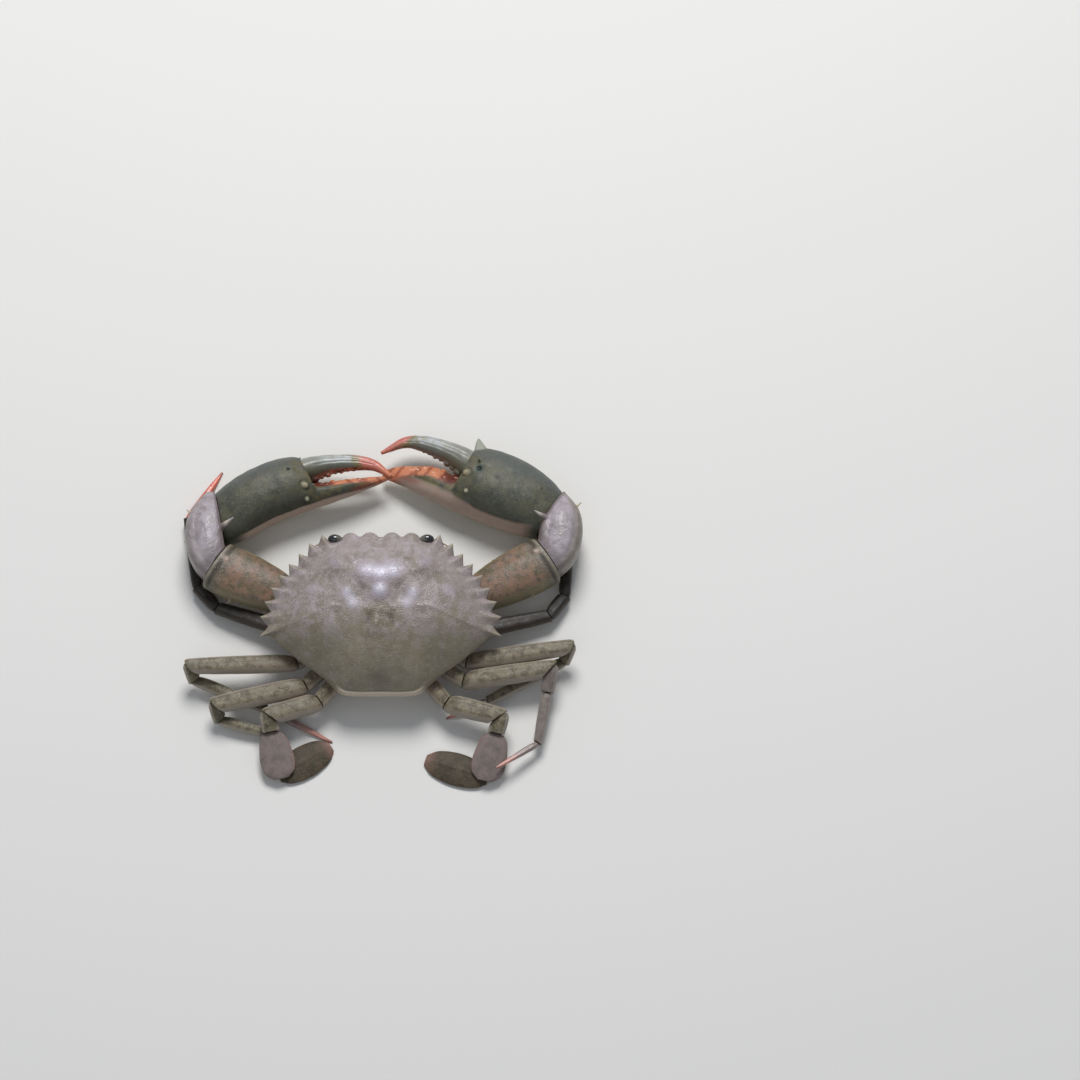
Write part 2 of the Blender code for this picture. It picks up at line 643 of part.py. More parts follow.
def build_leg(parts, name, joints, sizes, swells, thorax_cuts, surface, swimming=False):
    """One leg, from its root on the thorax to its tip."""
    points = [in_room(joint) for joint in joints]
    hit, faces = root_face(surface, points[0])
    points[0] = hit - faces * LEG_ROOT_DEPTH
    thorax_cuts.append((points[0], faces))
    planes = [(points[0] + faces * (GAP / 2), faces)]
    overruns = [1.0]
    for before, joint, after in zip(points, points[1:], points[2:]):
        normal, overrun = mitre(before, joint, after)
        planes.append((joint, normal))
        overruns.append(overrun)
    for number, part in enumerate(LEG_PARTS):
        plate = swimming and part in PLATE_OVERRUNS
        stacked_under = plate and part == "dactyl"
        stacked_over = plate and part == "propodus"
        if plate:
            bm = leg_plate(points, part, sizes[number], swells[part])
        else:
            bm = leg_length(points, number, overruns, sizes[number], swells[part])
        if stacked_under:
            cut(bm, (0, 0, PADDLE_LEVEL - GAP / 2), (0, 0, -1))
        else:
            point, normal = planes[number]
            cut(bm, point + normal * (GAP / 2), normal)
        if stacked_over:
            cut(bm, (0, 0, PADDLE_LEVEL + GAP / 2), (0, 0, 1))
        elif number < len(LEG_PARTS) - 1:
            point, normal = planes[number + 1]
            cut(bm, point - normal * (GAP / 2), -normal)
        cut_at_floor(bm)
        part_name = "paddle" if stacked_under else part
        add_part(parts, f"{name}_{part_name}", bm, "paddle" if plate else "leg")


def claw_frame(arm):
    """A claw's origin at the wrist, and its directions along, towards the upper edge, and up."""
    origin = in_room(arm["palm_at"])
    along = (in_room(arm["hinge_at"]) - origin).normalized()
    up = Vector((0, 0, 1))
    forward = up.cross(along)
    if forward.y < 0:
        forward = -forward
    return origin, along, forward, up


def finger_place(place, reach):
    """Distance along the claw, with its fingers made longer or shorter."""
    return place if place < HINGE_ALONG else HINGE_ALONG + (place - HINGE_ALONG) * reach


def finger_rise(place, end, lift):
    """How far a finger has risen at a place, for a lift given at its end."""
    share = max(0.0, place - HINGE_ALONG) / (end - HINGE_ALONG)
    return lift * share**2


def turned(x, y, angle):
    """A point of the claw turned about its hinge."""
    dx = x - HINGE_ALONG
    dy = y - HINGE_UP
    return (HINGE_ALONG + dx * math.cos(angle) - dy * math.sin(angle),
            HINGE_UP + dx * math.sin(angle) + dy * math.cos(angle))


def bellied(arm, rows):
    """Rows of the palm or the fixed finger with this claw's own lower edge."""
    full = []
    claw_length = POLLEX[-1][0]
    for place, low, high, thick in rows:
        share = max(0.0, place / claw_length) ** BELLY_LEAN
        bulge = max(0.0, math.sin(math.pi * share)) ** BELLY_POWER
        full.append((place, low - arm["belly"] * bulge, high, thick))
    return full


def pollex_rows(arm):
    """Rows of the fixed finger with this claw's own lower and biting edges."""
    rows = bellied(arm, POLLEX)
    return [(place, low, high + arm["raise"] * share, thick)
            for (place, low, high, thick), share in zip(rows, POLLEX_RAISE)]


def dactyl_rows(arm):
    """Rows of the movable finger with this claw's own hook at the tip."""
    hooked = []
    end = DACTYL[-1][0]
    for place, low, high, thick in DACTYL:
        drop = arm["hook"] * max(0.0, (place - HOOK_START) / (end - HOOK_START)) ** 3
        hooked.append((place - HOOK_SHORTENING * drop, low - drop, high - drop, thick))
    return hooked


def claw_tube(arm, rows, lift, reach=1.0, turn=0.0, sides=ARM_SIDES):
    """A tube along the claw through rows of (along, lower edge, upper edge, half thickness)."""
    origin, along, forward, up = claw_frame(arm)
    start = rows[0][0]
    end = rows[-1][0]
    middles = []
    halves = []
    for place, low, high, thick in rows:
        if high > 0:
            high *= arm["upper"]
        x, y = turned(finger_place(place, reach), (low + high) / 2, turn)
        z = finger_rise(place, end, lift)
        knot = (place - start) / (end - start)
        middles.append((knot, origin + along * x + forward * y + up * z))
        halves.append((knot, Vector(((high - low) / 2, thick * arm["thick"]))))
    path = lambda t: smooth_through(middles, t)
    size = lambda t: tuple(smooth_through(halves, t))
    return tube(path, size, sides, ARM_RINGS)


def finger_teeth(arm, edge, end, heading, lift, reach, turn=0.0):
    """Low rounded teeth along a finger's biting edge, given as (along, level) knots."""
    origin, along, forward, up = claw_frame(arm)
    shapes = []
    for place, width in FINGER_TEETH:
        x = finger_place(place, reach)
        y = smooth_through(edge, place)
        z = finger_rise(place, end, lift)
        ends = []
        for offset in (-FINGER_TOOTH_ROOT, FINGER_TOOTH_HEIGHT * width / WIDEST_FINGER_TOOTH):
            px, py = turned(x, y + heading * offset, turn)
            ends.append(origin + along * px + forward * py + up * z)
        thickness = width * FINGER_TOOTH_FLATNESS
        shapes.append(cone(*ends, width, thickness, sides=6, flat=up, tip=FINGER_TOOTH_TIP))
    return shapes


def arm_spines(ends):
    return [cone(in_room(start), in_room(end), ARM_SPINE_WIDTH, ARM_SPINE_WIDTH) for start, end in ends]


def fin_cones(name):
    return [
        cone(in_room(start), in_room(end), width, thickness, FIN_SIDES)
        for start, end, width, thickness in FINS[name]
    ]


def build_arm(parts, name, arm, thorax_cuts, surface):
    """The three lengths of a claw arm, from the thorax to the wrist."""
    root = in_room(arm["root"])
    hip = in_room(arm["hip"])
    elbow = in_room(arm["elbow"])
    wrist = in_room(arm["wrist"])
    elbow_faces = Vector(arm["elbow_faces"]).normalized()
    wrist_faces = Vector(arm["wrist_faces"]).normalized()
    spines = ARM_SPINES[name]

    hit, faces = root_face(surface, root)
    root = hit - faces * ARM_ROOT_DEPTH
    thorax_cuts.append((root, faces))
    hip_faces = ((hip - root).normalized() + (elbow - hip).normalized()).normalized()

    base = tube(straight((root, hip), *BASE_OVERRUNS), sizes_from(ARM_BASE), BASE_SIDES, BASE_RINGS)
    cut(base, root + faces * GAP, faces)
    cut(base, hip - hip_faces * (GAP / 2), -hip_faces)
    add_part(parts, f"{name}_base", base, "arm")

    merus = tube(straight((hip, elbow), *MERUS_OVERRUNS), sizes_from(ARM_MERUS), ARM_SIDES, ARM_RINGS)
    cut(merus, hip + hip_faces * (GAP / 2), hip_faces)
    cut(merus, elbow - elbow_faces * (GAP / 2), -elbow_faces)
    add_part(parts, f"{name}_merus", merus, "arm", arm_spines(spines["merus"]))

    carpus_path = straight([in_room(point) for point in arm["carpus"]], 0.0, 0.0)
    carpus = tube(carpus_path, sizes_from(ARM_CARPUS), ARM_SIDES, ARM_RINGS)
    cut(carpus, elbow + elbow_faces * (GAP / 2), elbow_faces)
    cut(carpus, wrist - wrist_faces * (GAP / 2), -wrist_faces)
    add_part(parts, f"{name}_carpus", carpus, "arm", arm_spines(spines["carpus"]))
    return wrist + wrist_faces * (GAP / 2), wrist_faces


def build_claw(parts, name, arm, wrist, wrist_faces):
    """The palm with its fixed finger, and the movable finger hinged to it."""
    origin, along, forward, _ = claw_frame(arm)
    hinge = origin + along * HINGE_ALONG + forward * HINGE_UP
    palm = claw_tube(arm, bellied(arm, PALM), 0.0)
    cut(palm, wrist, wrist_faces)
    cut(palm, hinge - along * (GAP / 2), -along)
    cut_at_floor(palm)
    rows = pollex_rows(arm)
    pollex = claw_tube(arm, rows, arm["dip"], arm["length"], sides=FINGER_SIDES)
    cut_at_floor(pollex)
    edge = [(place, high) for place, _, high, _ in rows]
    teeth = finger_teeth(arm, edge, POLLEX[-1][0], 1, arm["dip"], arm["length"])
    spines = arm_spines(ARM_SPINES[name]["palm"]) + fin_cones(name)
    add_part(parts, f"{name}_palm", palm, "palm", [pollex] + spines + teeth)

    lift = DACTYL_TIP_LIFT + arm["dip"] / 2
    rows = dactyl_rows(arm)
    dactyl = claw_tube(arm, rows, lift, arm["reach"], arm["gape"], FINGER_SIDES)
    cut(dactyl, hinge + along * (GAP / 2), along)
    edge = [(place, low) for place, low, _, _ in rows]
    teeth = finger_teeth(arm, edge, rows[-1][0], -1, lift, arm["reach"], arm["gape"])
    add_part(parts, f"{name}_dactyl", dactyl, "finger", teeth)


def belly_plate(surface, outline, span, heading, thickness):
    """A plate that follows the underside, with its outline in (share of span, across, half width)."""
    bm = bmesh.new()
    bmesh.ops.create_grid(bm, x_segments=5, y_segments=8, size=1.0)
    knots = [(share, Vector((across, half))) for share, across, half in outline]
    heading = Vector(heading).normalized()
    start, end = span
    outward = []
    for vert in bm.verts:
        share = (vert.co.y + 1) / 2
        across, half = smooth_through(knots, share)
        edge = 1.0 - PLATE_EDGE_THINNING * abs(vert.co.x) ** 3
        aim = in_room((across + half * vert.co.x, start + (end - start) * share, PLATE_AIM_HEIGHT))
        point, normal, _, _ = surface.ray_cast(aim - heading * PLATE_AIM_DISTANCE, heading)
        if normal.dot(heading) > 0:
            normal = -normal
        vert.co = point + normal * (GAP + PLATE_CLEARANCE)
        outward.append((vert.co.copy(), normal * (thickness * edge)))
    raised = bmesh.ops.extrude_face_region(bm, geom=bm.faces[:])
    for vert in [item for item in raised["geom"] if isinstance(item, bmesh.types.BMVert)]:
        vert.co += min(outward, key=lambda pair: (pair[0] - vert.co).length)[1]
    bmesh.ops.recalc_face_normals(bm, faces=bm.faces)
    cut_at_floor(bm)
    return bm


def build_body_plates(parts, surface):
    """The male's narrow folded abdomen, and the two plates that close over the mouth."""
    abdomen = belly_plate(surface, ABDOMEN_OUTLINE, ABDOMEN_SPAN, ABDOMEN_FACES, ABDOMEN_THICKNESS)
    add_part(parts, "abdomen", abdomen, "belly")
    for side, name in ((-1, "maxilliped_left"), (1, "maxilliped_right")):
        outline = [(share, across * side, half) for share, across, half in MOUTHPART_OUTLINE]
        plate = belly_plate(surface, outline, MOUTHPART_SPAN, MOUTHPART_FACES, MOUTHPART_THICKNESS)
        add_part(parts, name, plate, "belly")


def build_antennae(parts, thorax_cuts, surface):
    for side, name in ((-1, "antenna_left"), (1, "antenna_right")):
        points = [in_room((across * side, forward, up)) for across, forward, up in ANTENNA]
        hit, faces = root_face(surface, points[0])
        root = hit - faces * ANTENNA_ROOT_DEPTH
        thorax_cuts.append((root, faces))
        path = straight([root] + points[1:], ANTENNA_OVERRUN, 0.0)
        bm = tube(path, sizes_from(ANTENNA_SIZES), ANTENNA_SIDES, ANTENNA_RINGS)
        cut(bm, root + faces * GAP, faces)
        add_part(parts, name, bm, "feeler")


def main():
    clear_scene()
    parts = new_collection(OBJECT_NAME)
    build_shell(parts)
    thorax = body_blob(BODY_INSET, BODY_SEGMENTS, SHELL_RINGS)
    cut(thorax, (0, 0, SHELL_FLOOR - GAP), (0, 0, -1))
    bmesh.ops.transform(thorax, matrix=body_matrix(), verts=thorax.verts)
    surface = BVHTree.FromBMesh(thorax)
    cuts = []
    for name, arm in ARMS.items():
        wrist, wrist_faces = build_arm(parts, name, arm, cuts, surface)
        build_claw(parts, name, arm, wrist, wrist_faces)
    for name, joints in LEGS.items():
        sizes = LEG_SIZES[name[:len("leg_1")]]
        build_leg(parts, name, joints, sizes, LEG_SWELL, cuts, surface)
    swells = dict(LEG_SWELL, **PADDLE_SWELL)
    for name, joints in SWIM_LEGS.items():
        build_leg(parts, name, joints, LEG_SIZES["swim_leg"], swells, cuts, surface, swimming=True)
    build_antennae(parts, cuts, surface)
    build_body_plates(parts, surface)
    for point, normal in cuts:
        cut(thorax, point, -normal)
    add_part(parts, "thorax", thorax, "belly")


main()
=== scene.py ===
"""Mud crab, life size: the finished look of every part, laid out as an add-on and run as a script.

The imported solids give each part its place. Each operator builds finer forms over them, from the
same joints and outlines, and gives them materials made of nodes. Shapes are worked out in
millimetres and become metres as each mesh is stored. +Y is forward, +X is the crab's right.
"""

import math

import bmesh
import bpy
import numpy as np
from bpy.props import FloatProperty, FloatVectorProperty, PointerProperty
from mathutils import Matrix, Vector, noise
from mathutils.bvhtree import BVHTree


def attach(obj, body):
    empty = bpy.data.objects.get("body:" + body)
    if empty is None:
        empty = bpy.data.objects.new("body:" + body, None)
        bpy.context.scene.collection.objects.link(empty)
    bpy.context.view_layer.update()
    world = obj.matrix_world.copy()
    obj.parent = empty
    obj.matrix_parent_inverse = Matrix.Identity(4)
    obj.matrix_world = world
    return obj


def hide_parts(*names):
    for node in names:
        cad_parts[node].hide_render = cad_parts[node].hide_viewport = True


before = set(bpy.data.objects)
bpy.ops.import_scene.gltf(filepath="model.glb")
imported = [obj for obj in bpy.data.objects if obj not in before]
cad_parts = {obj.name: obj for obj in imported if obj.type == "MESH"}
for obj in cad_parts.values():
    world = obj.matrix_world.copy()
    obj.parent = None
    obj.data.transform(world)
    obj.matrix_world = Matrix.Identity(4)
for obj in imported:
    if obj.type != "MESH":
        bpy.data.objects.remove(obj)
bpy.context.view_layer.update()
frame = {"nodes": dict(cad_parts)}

bl_info = {
    "name": "Mud Crab Finish",
    "version": (1, 0, 0),
    "blender": (4, 5, 0),
    "location": "View3D > Sidebar > Mud Crab",
    "description": "Builds the shell, claws, legs and paddles of a life-size mud crab model",
    "category": "Mesh",
}

MM = 0.001
BODY = "root"

# Where the middle of the shell stands, as in the solids
BODY_ACROSS = -0.257
BODY_FORWARD = -12.613
BODY_HEIGHT = 34.2
BODY_PITCH = math.radians(12.0)
DOME_HEIGHT = 21.0
SHELL_FLOOR = -3.0
SHELL_DEPTH = 31.0
BODY_INSET = 0.84
UNDER_ROUNDNESS = 1.72
CORE_HEIGHT = 24.0
BELLY_REARWARD = 6.0
SHELL_RIM = (
    (0.0, 49.5), (14.0, 49.8), (26.0, 48.6), (36.5, 45.6), (49.5, 33.5), (61.5, 19.0),
    (68.6, 4.0), (69.8, -11.0), (53.0, -27.8), (37.0, -39.5), (29.5, -46.6), (23.0, -51.2), (0.0, -52.0),
)
FIRST_TOOTH_KNOT = 3
LAST_TOOTH_KNOT = 7
SIDE_TEETH = 9
TOOTH_FORWARD_LEAN = 0.45
# Swellings of the dome: across, forward, radius, height
SHELL_SWELLINGS = (
    (0.0, 24.0, 16.0, 2.2), (21.0, 27.0, 12.0, 1.2), (0.0, -8.0, 11.0, 1.6), (36.0, 2.0, 20.0, 1.6),
    (13.0, 8.0, 8.0, -1.4), (0.0, 5.0, 6.0, -0.8), (0.0, -30.0, 16.0, 0.9),
)
# Finer relief of the regions of the back: across, forward, radius, height
SHELL_RELIEF = (
    (0.8, 22.9, 6.0, 0.9), (10.2, 26.0, 6.5, 1.0), (0.5, 11.7, 4.6, 0.9), (20.5, 11.2, 4.6, 0.9),
    (17.0, 3.8, 4.4, 0.8), (10.2, 15.0, 3.6, -0.6), (5.2, 19.4, 2.6, -0.3), (6.0, -4.0, 4.4, -0.45),
    (0.0, -3.4, 3.4, -0.3), (0.0, -12.0, 5.5, 0.35), (6.8, -14.5, 3.2, 0.5), (31.0, 21.0, 5.0, -0.4),
    (28.0, 31.0, 6.0, 0.7), (43.0, 14.0, 6.0, 0.6), (53.0, 4.0, 5.0, 0.5), (30.0, -14.0, 9.0, 0.6),
    (27.0, -2.0, 3.2, -0.5), (0.0, -44.0, 9.0, -0.5),
)
# Raised lines of granules on the back: height, half width, then points
SHELL_RIDGES = (
    (0.32, 1.3, ((67.5, -9.6), (56.0, -7.4), (46.0, -3.6), (37.0, 0.6), (30.0, 3.0), (24.5, 2.6))),
    (0.26, 1.2, ((3.2, 31.6), (8.0, 33.4), (13.0, 33.2), (17.6, 31.0))),
    (0.26, 1.2, ((2.4, 41.2), (7.0, 42.2), (12.0, 42.0), (18.0, 40.8))),
    (0.2, 1.2, ((22.0, 42.2), (27.0, 40.4), (33.0, 39.6))),
    (-0.30, 1.8, ((13.0, 16.5), (18.0, 21.0), (25.0, 24.0), (33.0, 25.6), (41.0, 23.5))),
    (-0.35, 1.4, ((7.0, -4.0), (8.6, -10.0), (7.6, -16.0), (9.6, -22.0))),
    (0.5, 0.8, ((22.0, -49.6), (28.0, -45.2), (35.0, -38.6), (44.0, -32.2))),
)
FRONT_LOBES = (6.8, 19.5)
EYE_ACROSS = 29.0
EYE_FORWARD = 48.2
EYE_UP = 0.3
EYE_RADII = (4.4, 3.3, 3.0)
EYE_FLATNESS = 0.9
EYE_STALK = ((20.5, 45.6, -0.8), (24.5, 47.0, -0.2))
EYE_STALK_SIZES = ((1.7, 1.7), (2.2, 2.1), (2.5, 2.3))
SHELL_SIDES = 560
SHELL_RINGS = 150

# Walking legs: joints from the thorax outwards, across, forward and up from under the shell's middle
LEGS = {
    "leg_1_left": (
        (-38, 1, 13), (-62, -1, 12.5), (-104, 14.5, 8.5), (-116.5, 29, 6.8), (-123.5, 76, 6.2),
        (-103, 110.5, 0.4),
    ),
    "leg_1_right": (
        (38, 1, 13), (62, -2, 12.5), (105.5, 9, 9), (115.5, 23, 6.2), (118, 68, 5.2), (105.5, 99, 0.4),
    ),
    "leg_2_left": (
        (-36, -12, 13), (-53, -25.5, 15.5), (-120, -28.6, 18.5), (-117.5, -34, 8.5), (-72, -52.5, 5.4),
        (-30.5, -73, 0.4),
    ),
    "leg_2_right": (
        (36, -12, 13), (54, -24.5, 15.5), (118.5, -15.8, 18.5), (115, -21.5, 8.5), (67, -47, 5.4),
        (41, -57, 0.4),
    ),
    "leg_3_left": (
        (-33, -24.5, 13), (-47.5, -40.3, 14.5), (-103.5, -53.6, 15.5), (-101, -60.3, 7), (-73.5, -68, 5),
        (-69, -87, 0.4),
    ),
    "leg_3_right": (
        (33, -24.5, 13), (52, -37.5, 15.5), (107, -30, 18.5), (104.5, -44, 12), (98.5, -76.6, 8.6),
        (72.3, -94.7, 13),
    ),
}
SWIM_LEGS = {
    "swim_leg_left": (
        (-27, -35.5, 14), (-38.5, -51, 14.5), (-70, -61, 16.5), (-68.5, -70, 11.5), (-62.5, -96, 6.2),
        (-31.4, -76, 1.3),
    ),
    "swim_leg_right": (
        (27, -35.5, 14), (41.5, -52, 14.5), (75, -61.5, 16.5), (72.5, -71, 11.5), (66, -97.5, 6.2),
        (28.2, -85, 1.3),
    ),
}
LEG_PARTS = ("coxa", "merus", "carpus", "propodus", "dactyl")
LEG_SIZES = {
    "leg_1": ((4.9, 4.8), (5.0, 3.9), (4.4, 3.5), (4.0, 3.1), (2.9, 2.2)),
    "leg_2": ((5.3, 4.8), (5.8, 4.5), (4.5, 3.7), (4.0, 2.9), (2.5, 1.9)),
    "leg_3": ((5.4, 4.8), (6.4, 4.7), (4.6, 3.7), (3.5, 2.9), (2.3, 1.9)),
    "swim_leg": ((5.4, 4.8), (6.5, 4.8), (5.8, 4.3), (10.8, 2.0), (10.6, 1.9)),
}
LEG_SWELL = {
    "coxa": ((0.0, 0.95), (0.5, 1.0), (1.0, 0.86)),
    "merus": ((0.0, 0.84), (0.22, 1.0), (0.65, 0.96), (1.0, 0.80)),
    "carpus": ((0.0, 0.90), (0.5, 1.0), (1.0, 0.90)),
    "propodus": ((0.0, 0.92), (0.4, 1.0), (1.0, 0.78)),
    "dactyl": ((0.0, 0.86), (0.3, 0.92), (0.7, 0.66), (1.0, 0.26)),
}
PADDLE_SWELL = {
    "propodus": ((0.0, 0.44), (0.15, 0.72), (0.4, 0.92), (0.65, 1.0), (0.88, 0.84), (1.0, 0.42)),
    "dactyl": ((0.0, 0.36), (0.12, 0.74), (0.35, 0.98), (0.6, 1.0), (0.86, 0.76), (1.0, 0.34)),
}
PADDLE_LEVEL = 4.1
PADDLE_MIDDLE = 2.1

# Claw arms: joints, the planes that part them, and how the palm and fingers differ from the tables.
# upper, belly and thick swell the palm; gape, dip, length and reach turn and stretch the fingers;
# raise and hook bend their edges; pink, bitten, ridge and biting place their colours; dot, knob,
# pit and condyle are places of small lumps and hollows.
ARMS = {
    "claw_left": {
        "root": (-35, 19, 14), "hip": (-57, 17.5, 17.5), "elbow": (-104.4, 38.5, 20),
        "wrist": (-102.6, 69.5, 17),
        "elbow_faces": (-0.835, 0.55, 0.0), "wrist_faces": (0.984, 0.178, 0.0),
        "carpus": ((-100, 33.5, 20), (-108.2, 46, 20.5), (-110.8, 62, 20), (-107.5, 87.5, 17.5)),
        "palm_at": (-101, 69.4, 17.4), "hinge_at": (-49.5, 94.2, 17.4),
        "upper": 1.0, "belly": -4.6, "thick": 1.07, "gape": 0.0, "dip": -0.5, "length": 1.0, "reach": 1.0,
        "raise": -2.0, "hook": 3.0, "pink": 0.0, "bitten": 1.0, "ridge": 5.5, "biting": 4.4,
        "dot": (53.5, -12.0), "knob": (55.6, -4.7, 2.5), "pit": (50.6, 9.3, 0.9),
        "condyle": (-99.6, 39.6, 30.4),
    },
    "claw_right": {
        "root": (35, 19, 14), "hip": (57, 18.0, 17.5), "elbow": (104.5, 42, 21),
        "wrist": (105.5, 72, 17),
        "elbow_faces": (0.837, 0.547, 0.0), "wrist_faces": (-0.87, 0.49, 0.0),
        "carpus": ((101, 37.5, 21), (110.6, 49, 21.5), (113.4, 65, 21), (111, 88, 18)),
        "palm_at": (105, 72.6, 16.6), "hinge_at": (52, 98.5, 16.6),
        "upper": 1.15, "belly": 2.0, "thick": 1.06, "gape": math.radians(19.5), "dip": -8.0,
        "length": 0.96, "reach": 1.03, "raise": 5.0, "hook": 8.0, "pink": 0.06, "bitten": 0.36,
        "ridge": 9.5, "biting": 8.0,
        "dot": (52.7, -10.5), "knob": (57.8, 0.3, 2.5), "pit": (51.5, 6.0, 1.7),
        "condyle": (99.6, 44.4, 31.4),
    },
}
ARM_BASE = ((7.6, 7.2), (8.4, 7.6), (8.6, 7.6))
ARM_MERUS = ((9.6, 8.6), (14.6, 11.4), (16.6, 12.4), (14.8, 12.2))
ARM_CARPUS = ((11.5, 10.5), (13.6, 13.4), (12.8, 13.4), (5.0, 6.0))
BASE_OVERRUNS = (7.0, 7.0)
MERUS_OVERRUNS = (6.0, 11.0)
# Along the palm from the wrist: lower edge, upper edge, half thickness
PALM = (
    (-9.0, -14.5, 11.5, 8.5), (2.0, -16.6, 17.0, 12.0), (14.0, -17.4, 21.4, 15.2), (30.0, -18.0, 24.0, 16.6),
    (48.0, -19.0, 22.8, 15.8), (60.0, -19.4, 17.0, 12.8), (68.0, -17.5, 12.5, 8.5),
)
POLLEX = (
    (40.0, -18.2, 3.0, 11.5), (56.0, -19.6, -0.8, 9.6), (68.0, -19.8, -3.4, 8.0), (80.0, -19.8, -5.2, 6.6),
    (92.0, -19.6, -9.0, 4.9), (102.0, -19.2, -12.8, 3.2), (111.0, -18.6, -16.6, 1.1),
)
DACTYL = (
    (54.0, 1.6, 17.6, 10.8), (64.0, 1.2, 16.9, 9.4), (74.0, 0.8, 14.0, 7.6), (84.0, -1.6, 9.8, 6.0),
    (94.0, -5.6, 4.2, 4.6), (103.0, -10.6, -3.6, 3.1), (110.0, -17.0, -14.8, 1.0),
)
POLLEX_RAISE = (0.0, 0.0, 0.4, 1.0, 1.0, 1.0, 0.6)  # shares of a claw's own raised biting edge
HOOK_START = 94.0
HOOK_SHORTENING = 0.3
BELLY_LEAN = 0.65
BELLY_POWER = 2.0
HINGE_ALONG = 61.0
HINGE_UP = 3.0
DACTYL_TIP_LIFT = 3.4
# Teeth along a finger's biting edge: along, half width, height
FINGER_TEETH = (
    (65.0, 3.3, 2.3), (69.6, 2.2, 1.6), (74.0, 2.7, 2.0), (78.6, 1.7, 1.3), (82.4, 2.0, 1.5),
    (86.4, 1.4, 1.1), (89.8, 1.5, 1.2), (93.2, 1.1, 0.9), (96.2, 1.1, 0.8), (99.4, 0.9, 0.7),
    (102.4, 0.8, 0.5),
)

ARM_SPINES = {
    "claw_left": {
        "merus": (
            ((-78, 38, 20), (-80.5, 46.5, 21)), ((-88, 41, 20), (-90, 50, 21)),
            ((-68, 33, 19), (-70.5, 40.5, 20)), ((-106, 30, 20), (-113.6, 24.6, 20.5)),
            ((-92, 20, 20), (-97.5, 12.4, 20.5)),
        ),
        "carpus": (
            ((-104, 59.5, 29), (-93.5, 65, 36.5)), ((-117, 70, 24), (-123.5, 74, 27)),
            ((-118, 52, 24), (-125, 53, 26)),
        ),
        "palm": (
            ((-57, 104, 23), (-52.0, 110.0, 28)), ((-60, 98, 27), (-56, 100, 34.0)),
            ((-95, 78, 25), (-97.5, 83, 31.5)),
        ),
    },
    "claw_right": {
        "merus": (
            ((78, 41, 20), (80.5, 49.5, 21)), ((88, 44, 20), (90, 53, 21)),
            ((68, 36, 19), (70.5, 43.5, 20)), ((103, 34, 20), (111.6, 27.6, 20.5)),
            ((92, 23, 20), (97.5, 15.4, 20.5)),
        ),
        "carpus": (
            ((107.5, 65.5, 29.5), (96.5, 69.5, 37)), ((119, 74, 24), (126, 79, 27)),
            ((121, 57, 24), (127, 59, 26)),
        ),
        "palm": (
            ((63, 104, 27), (61.0, 106, 35.0)), ((98, 83, 26), (101, 88, 32.5)),
        ),
    },
}
# Broad thin teeth on the palms: start, end, half width and half thickness
FINS = {"claw_left": (), "claw_right": (((63.1, 109.8, 24.6), (60.9, 124, 25.4), 5.2, 1.2),)}
MERUS_SPINE_WIDTHS = (2.0,)
CARPUS_SPINE_WIDTHS = (3.2, 2.3)
PALM_SPINE_WIDTHS = (2.6,)
SPINE_TAPER = (1.5, 1.02, 0.66, 0.36, 0.14)
SPINE_DEPTH = 0.3  # how far a spine starts under the skin, as a share of its length
FIN_TAPER = (1.1, 1.0, 0.8, 0.5, 0.12)
FIN_THINNEST = 0.5

# Plates under the body: (share of the span, across, half width), and spans forward of the middle
ABDOMEN_OUTLINE = ((0.0, 0.0, 15.0), (0.22, 0.0, 13.0), (0.5, 0.0, 9.0), (0.85, 0.0, 5.5), (1.0, 0.0, 3.2))
ABDOMEN_SPAN = (-44.0, 4.0)
ABDOMEN_FACES = (0.0, 0.5, 0.87)
ABDOMEN_THICKNESS = 2.6
MOUTHPART_OUTLINE = ((0.0, 6.4, 4.2), (0.35, 7.2, 6.0), (0.8, 7.2, 5.8), (1.0, 6.6, 4.0))
MOUTHPART_SPAN = (19.0, 52.0)
MOUTHPART_FACES = (0.0, -0.7, 0.71)
MOUTHPART_THICKNESS = 2.4
PLATE_AIM_HEIGHT = 10.0
ANTENNA = ((17.5, 34.5, 27.0), (20.5, 45.5, 32.0), (27.0, 50.5, 33.5), (35.0, 50.5, 33.0), (43.0, 46.5, 32.0))
ANTENNA_SIZES = ((2.0, 2.0), (1.6, 1.6), (0.9, 0.9), (0.55, 0.55), (0.4, 0.4))
ANTENNA_RINGS = 46
ANTENNA_RING_DEPTH = 0.07

# The view: how high the camera looks down from, and the frame's middle from the shell's middle
CAMERA_HEIGHT_ANGLE = math.radians(68.0)
FRAME_ACROSS = 100.0
FRAME_UP = 46.9
FRAME_WIDTH = 677.8
CAMERA_DISTANCE = 4000.0
CAMERA_CLIP = (0.1, 30.0)
SENSOR_WIDTH = 36.0
FLOOR_RADIUS = 4000.0
FLOOR_DROP = 0.05
KEY_DISTANCE = 2.4
FILL_AZIMUTH = math.radians(200)
FILL_HEIGHT = math.radians(50)
FILL_DISTANCE = 2.6
FILL_SIZE = 1.6

# Plates and joints, as in the solids
PLATE_OVERRUNS = {"propodus": (2.0, 3.0), "dactyl": (1.6, 0.0)}
PLATE_EVENNESS = 0.55
PLATE_AIM_DISTANCE = 80.0
ROOT_OVERRUN = 5.0
JOINT_OVERRUN = 0.8
STEEPEST_MITRE = 1.1
LEG_ROOT_DEPTH = 0.9
ARM_ROOT_DEPTH = 1.2
ANTENNA_ROOT_DEPTH = 0.25
ANTENNA_OVERRUN = 3.0
JOINT_GAP = 0.3
ELBOW_SQUARENESS = 2.0
ELBOW_FULLNESS = 1.05
LAST_PART = len(LEG_PARTS) - 1
PLATE_KINDS = {"propodus": "plate", "dactyl": "paddle"}
